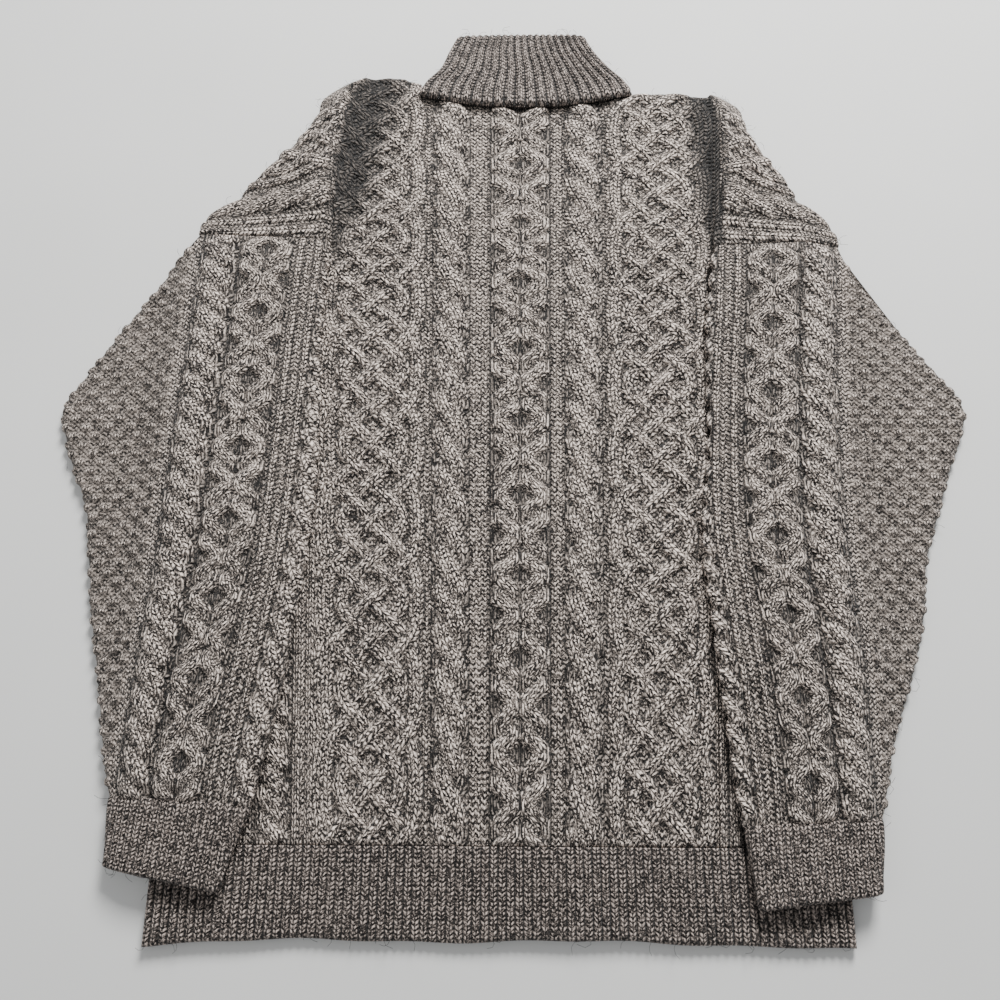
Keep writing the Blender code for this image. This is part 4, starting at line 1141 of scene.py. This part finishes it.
class Wiring:
    """Adds nodes to a tree and joins them up."""

    def __init__(self, tree):
        self.tree = tree

    def add(self, kind, **settings):
        node = self.tree.nodes.new(kind)
        for name, value in settings.items():
            setattr(node, name, value)
        return node

    def join(self, source, target):
        if isinstance(source, Value):
            source = source.socket
        if isinstance(source, bpy.types.NodeSocket):
            self.tree.links.new(source, target)
        else:
            target.default_value = source

    def value(self, node, name=0):
        return Value(self, node.outputs[name])

    def maths(self, operation, *values):
        node = self.add("ShaderNodeMath", operation=operation)
        for socket, value in zip(node.inputs, values):
            self.join(value, socket)
        return self.value(node)

    def mix(self, amount, first, second):
        node = self.add("ShaderNodeMix", data_type="FLOAT")
        for number, value in ((0, amount), (2, first), (3, second)):
            self.join(value, node.inputs[number])
        return self.value(node)

    def mix_colour(self, amount, first, second, blend="MIX"):
        node = self.add("ShaderNodeMix", data_type="RGBA", blend_type=blend)
        for number, value in ((0, amount), (6, first), (7, second)):
            self.join(value, node.inputs[number])
        return node.outputs[2]

    def combine(self, x, y):
        node = self.add("ShaderNodeCombineXYZ")
        self.join(x, node.inputs[0])
        self.join(y, node.inputs[1])
        return node.outputs[0]

    def noise(self, vector, scale, detail):
        node = self.add("ShaderNodeTexNoise")
        node.inputs["Scale"].default_value = scale
        node.inputs["Detail"].default_value = detail
        self.join(vector, node.inputs["Vector"])
        return self.value(node)


def new_group(name, inputs, outputs):
    group = bpy.data.node_groups.new(name, "ShaderNodeTree")
    for direction, sockets in (("INPUT", inputs), ("OUTPUT", outputs)):
        for socket_name, kind in sockets:
            group.interface.new_socket(name=socket_name, in_out=direction,
                                       socket_type="NodeSocket" + kind)
    wiring = Wiring(group)
    return group, wiring, wiring.add("NodeGroupInput"), wiring.add("NodeGroupOutput")


LEG_SLOPE = 0.62        # rows that a knit stitch's legs fall from its middle to its sides
PURL_SWING = 0.24       # rows that a purl stitch's bump goes up and down
KNIT_STREAKS, PURL_STREAKS = (4.2, 2.1), (2.6, 2.6)     # streaks in a stitch, across and along


def stitch_group():
    """Height of knit and purl stitches, a number for each leg, and a place along its yarn."""
    group, w, given, result = new_group(
        "knit_stitches", (("Stitches", "Vector"), ("Purl", "Float")),
        (("Height", "Float"), ("Leg", "Vector"), ("Streak", "Vector")))
    apart = w.add("ShaderNodeSeparateXYZ")
    w.join(given.outputs["Stitches"], apart.inputs[0])
    u, v = w.value(apart, 0), w.value(apart, 1)
    is_purl = w.value(given, "Purl")

    def crown(line):
        along = w.maths("FRACT", line) * 2.0 - 1.0
        return 1.0 - along * along

    off = w.maths("ABSOLUTE", w.maths("FRACT", u) - 0.5) * 2.0
    leg_off = off * 2.0 - 1.0
    line = v - off * LEG_SLOPE
    knit = (1.0 - leg_off * leg_off) ** 0.5 * w.mix(crown(line) ** 0.6, 0.10, 1.0)
    bump_line = v + w.maths("COSINE", u * (2.0 * math.pi)) * PURL_SWING
    beat = w.maths("COSINE", u * (4.0 * math.pi)) * 0.22
    purl = crown(bump_line) ** 0.7 * (beat + 0.78)
    w.join(w.mix(is_purl, knit, purl), result.inputs["Height"])
    leg_row = w.mix(is_purl, line, bump_line)
    w.join(w.combine(w.maths("FLOOR", u * 2.0), w.maths("FLOOR", leg_row)),
           result.inputs["Leg"])
    across = u * w.mix(is_purl, KNIT_STREAKS[0], PURL_STREAKS[0])
    along = w.mix(is_purl, line * KNIT_STREAKS[1], bump_line * PURL_STREAKS[1])
    w.join(w.combine(across, along), result.inputs["Streak"])
    return group


def yarn_group():
    """Marled yarn: light and dark fibres twisted together, with painted shade between the
    stitches.
    """
    group, w, given, result = new_group(
        "marled_yarn",
        (("Place", "Vector"), ("Leg", "Vector"), ("Streak", "Vector"), ("Height", "Float"),
         ("Tone", "Float"), ("Dark", "Color"), ("Light", "Color")),
        (("Colour", "Color"), ("Fibre", "Float")))
    fine = w.noise(given.outputs["Place"], 640.0, 1.0)
    broad = w.noise(given.outputs["Place"], 26.0, 2.0)
    combed = w.noise(given.outputs["Streak"], 1.0, 1.0)
    own = w.add("ShaderNodeTexWhiteNoise", noise_dimensions="3D")
    w.join(given.outputs["Leg"], own.inputs["Vector"])
    speckle = (fine - 0.5) * 4.0 + (combed - 0.5) * 6.8
    leg_tone = (w.value(own, "Value") - 0.5) * 1.1
    held = w.add("ShaderNodeClamp")
    w.join(speckle + leg_tone + ((broad - 0.5) * 0.4 + 0.50), held.inputs[0])
    yarn = w.mix_colour(held.outputs[0], given.outputs["Dark"], given.outputs["Light"])
    # painted shade: near black in the gaps between stitches, a little above the yarn's colour on
    # their tops, times the pieces' painted shade
    depth = w.mix(given.outputs["Height"], 0.02, 1.16) * w.value(given, "Tone")
    grey = w.add("ShaderNodeCombineColor")
    for socket in grey.inputs[:3]:
        w.join(depth, socket)
    w.join(w.mix_colour(1.0, yarn, grey.outputs[0], "MULTIPLY"), result.inputs["Colour"])
    w.join(fine, result.inputs["Fibre"])
    return group


DARK_WOOL = (0.024, 0.018, 0.015, 1.0)
LIGHT_WOOL = (0.96, 0.82, 0.71, 1.0)
# painted shade: the ribbed pieces' light fibres are a darkened copy of the cable wool's
LIGHT_RIB_SHADED = (0.58, 0.485, 0.425, 1.0)
CABLE_STITCH, RIB_STITCH = 0.0020, 0.0018   # depth of a stitch in each


def wool(name, stitches, yarn, stitch_depth, light=LIGHT_WOOL):
    """Matte wool whose stitches follow the piece's own stitch map."""
    material = bpy.data.materials.new(name)
    material.use_nodes = True
    w = Wiring(material.node_tree)
    shader = material.node_tree.nodes["Principled BSDF"]
    for setting, value in (("Roughness", 0.72), ("Specular IOR Level", 0.28),
                           ("Sheen Weight", 0.08), ("Sheen Roughness", 0.5)):
        shader.inputs[setting].default_value = value
    place = w.add("ShaderNodeTexCoord")
    stitch_uv = w.add("ShaderNodeUVMap", uv_map="stitches")
    purl = w.add("ShaderNodeAttribute", attribute_name="purl")
    # painted shade of the piece, read from its tone attribute
    tone = w.add("ShaderNodeAttribute", attribute_name="tone")
    knit = w.add("ShaderNodeGroup", node_tree=stitches)
    w.join(stitch_uv.outputs[0], knit.inputs["Stitches"])
    w.join(purl.outputs["Fac"], knit.inputs["Purl"])
    marl = w.add("ShaderNodeGroup", node_tree=yarn)
    w.join(place.outputs["Object"], marl.inputs["Place"])
    for output in ("Leg", "Streak", "Height"):
        w.join(knit.outputs[output], marl.inputs[output])
    w.join(tone.outputs["Fac"], marl.inputs["Tone"])
    w.join(DARK_WOOL, marl.inputs["Dark"])
    w.join(light, marl.inputs["Light"])
    w.join(marl.outputs["Colour"], shader.inputs["Base Color"])
    bump = w.add("ShaderNodeBump")
    bump.inputs["Distance"].default_value = stitch_depth
    bump.inputs["Strength"].default_value = 1.0
    w.join(w.value(knit, "Height") + w.value(marl, "Fibre") * 0.5, bump.inputs["Height"])
    w.join(bump.outputs[0], shader.inputs["Normal"])
    return material


# ---- stray fibres ----

FIBRE_RADIUS = 0.00011
FIBRE_LENGTHS = (0.004, 0.011)
FIBRE_CURL = 2.2        # radians that a hair turns through at most


def stray_fibres(material):
    """Short wool hairs that stand out of the knit, as one mesh."""
    draw = np.random.default_rng(7)
    hairs = bpy.data.curves.new("stray_fibres", "CURVE")
    hairs.dimensions = "3D"
    hairs.bevel_depth = FIBRE_RADIUS
    hairs.bevel_resolution = 0
    hairs.use_fill_caps = True
    for x, y, z in fibre_roots(draw):
        heading = draw.uniform(0.0, 2.0 * math.pi)
        length = draw.uniform(*FIBRE_LENGTHS)
        curl = draw.uniform(-FIBRE_CURL, FIBRE_CURL)
        spline = hairs.splines.new("POLY")
        spline.points.add(3)
        for number, point in enumerate(spline.points):
            share = number / 3.0
            turn = heading + curl * share
            lift = math.sin(math.pi * min(share, 0.8)) * length * 0.25
            point.co = (x + math.cos(turn) * length * share, y + math.sin(turn) * length * share,
                        z + lift, 1.0)
    rolled = show("hairs", hairs)
    mesh = bpy.data.meshes.new_from_object(rolled.evaluated_get(
        bpy.context.evaluated_depsgraph_get()))
    bpy.data.objects.remove(rolled, do_unlink=True)
    mesh.name = "stray_fibres"
    mesh.materials.clear()
    mesh.materials.append(material)
    return show("stray_fibres", mesh)


FIBRE_SOURCES = (("back_knit", 900), ("sleeve_left_knit", 420), ("sleeve_right_knit", 420),
                 ("shoulder_left_knit", 160), ("shoulder_right_knit", 160),
                 ("collar_rib", 200), ("cuff_left_rib", 140), ("cuff_right_rib", 140),
                 ("hem_back_rib", 320))


def fibre_roots(draw):
    """Places on the pieces' upper faces where a hair comes out."""
    for name, count in FIBRE_SOURCES:
        mesh = bpy.data.objects[name].data
        places = vertex_values(mesh)
        upper = np.flatnonzero(vertex_values(mesh, "normal")[:, 2] > -0.1)
        for number in draw.choice(upper, count, replace=False):
            yield places[number]


# ---- floor, light and camera ----

def lay_floor():
    """Plain pale floor, with the faintest change of tone."""
    mesh = flat_grid("floor", 2, 2, 4.0)
    material = bpy.data.materials.new("pale_floor")
    material.use_nodes = True
    w = Wiring(material.node_tree)
    shader = material.node_tree.nodes["Principled BSDF"]
    shader.inputs["Roughness"].default_value = 0.85
    place = w.add("ShaderNodeTexCoord")
    grain = w.noise(place.outputs["Object"], 6.0, 2.0)
    w.join(w.mix_colour(grain, (0.68, 0.68, 0.66, 1.0), (0.74, 0.74, 0.72, 1.0)),
           shader.inputs["Base Color"])
    mesh.materials.append(material)
    show("floor", mesh)


def soft_light(name, place, size, power):
    """A square lamp that faces the middle of the sweater."""
    light = bpy.data.lights.new(name, "AREA")
    light.shape = "SQUARE"
    light.size = size
    light.energy = power
    lamp = show(name, light)
    lamp.location = place
    lamp.rotation_euler = Vector(place).to_track_quat("Z", "Y").to_euler()


# The camera's place and its axes, from the fit to the outline.
CAMERA_PLACE = (0.00479, -0.32425, 0.7564)
CAMERA_RIGHT = (0.99985, 0.00679, -0.01588)
CAMERA_UP = (-0.00126, 0.94563, 0.32525)
CAMERA_BACK = (0.01723, -0.32518, 0.94549)


def light_and_camera():
    world = bpy.data.worlds.new("studio")
    world.use_nodes = True
    sky = world.node_tree.nodes["Background"]
    sky.inputs[0].default_value = (0.95, 0.97, 1.0, 1.0)
    sky.inputs[1].default_value = 0.42
    bpy.context.scene.world = world
    soft_light("key", (0.45, 1.45, 1.35), 0.7, 84.0)
    soft_light("fill", (-1.2, -0.4, 1.6), 1.6, 6.0)
    camera = bpy.data.cameras.new("camera")
    camera.sensor_width = 36.0
    camera.lens = 36.0
    camera.clip_start = 0.01
    held = show("camera", camera)
    turn = Matrix((CAMERA_RIGHT, CAMERA_UP, CAMERA_BACK)).transposed().to_4x4()
    held.matrix_world = Matrix.Translation(CAMERA_PLACE) @ turn
    bpy.context.scene.camera = held


# ---- the sweater ----

Side = namedtuple("Side", "name shoulder sleeve cuff kink shoulder_flat shoulder_area")
SIDES = (Side("left", SHOULDER_LEFT, SLEEVE_LEFT, CUFF_LEFT, LEFT_KINK, (0.15, 0.17), 0.0190),
         Side("right", SHOULDER_RIGHT, SLEEVE_RIGHT, CUFF_RIGHT, RIGHT_KINK, (0.13, 0.155),
              0.0145))
Panel = namedtuple("Panel", "piece node slot flat area held rests_on")
HEM_FLAT = (0.493, 0.062)


def lay_panels():
    """All knitted pieces, each with the node that it replaces and what its sheet is."""
    yield Panel(lay_front(), "front", "wool", (0.50, 0.67), 0.300, "laid", ("floor",))
    yield Panel(lay_back(), "back", "wool", (0.50, 0.67), 0.310, "laid", ("front_knit",))
    yield Panel(lay_hem("hem_front_rib", 0.0, 0.0030), "hem_front", "rib", HEM_FLAT, None,
                "laid", ("floor",))
    yield Panel(lay_hem("hem_back_rib", BACK_UNDERSIDE, 0.00085), "hem_back", "rib", HEM_FLAT,
                None, "laid", ("hem_front_rib",))
    for side in SIDES:
        node = "shoulder_" + side.name
        piece = lay_shoulder(node + "_knit", side.shoulder, side.sleeve[0], side.kink)
        yield Panel(piece, node, "wool", side.shoulder_flat, side.shoulder_area, "folded",
                    ("floor",))
    for side in SIDES:
        node = "sleeve_" + side.name
        piece = lay_tube(node + "_knit", side.sleeve, side.kink, 300, 150, 16, knit_sleeve)
        yield Panel(piece, node, "wool", (0.42, 0.47), 0.150, "laid", ("back_knit", "floor"))
    for side in SIDES:
        node = "cuff_" + side.name
        piece = lay_tube(node + "_rib", side.cuff, side.kink, 48, 140, 30, knit_cuff)
        yield Panel(piece, node, "rib", (0.20, 0.055), None, "laid", ("hem_back_rib", "floor"))
    yield Panel(lay_collar(), "collar", "rib", (0.36, 0.085), None, "folded", ("floor",))


stitches = stitch_group()
yarn = yarn_group()
materials = {"wool": wool("cable_wool", stitches, yarn, CABLE_STITCH),
             "rib": wool("rib_wool", stitches, yarn, RIB_STITCH, LIGHT_RIB_SHADED)}
panels = tuple(lay_panels())
for panel in panels:
    panel.piece.data.materials.append(materials[panel.slot])
    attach(panel.piece, "root")
    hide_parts(panel.node)

lay_floor()
for panel in panels:
    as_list(panel.rests_on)

fibres = stray_fibres(materials["wool"])
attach(fibres, "root")

light_and_camera()
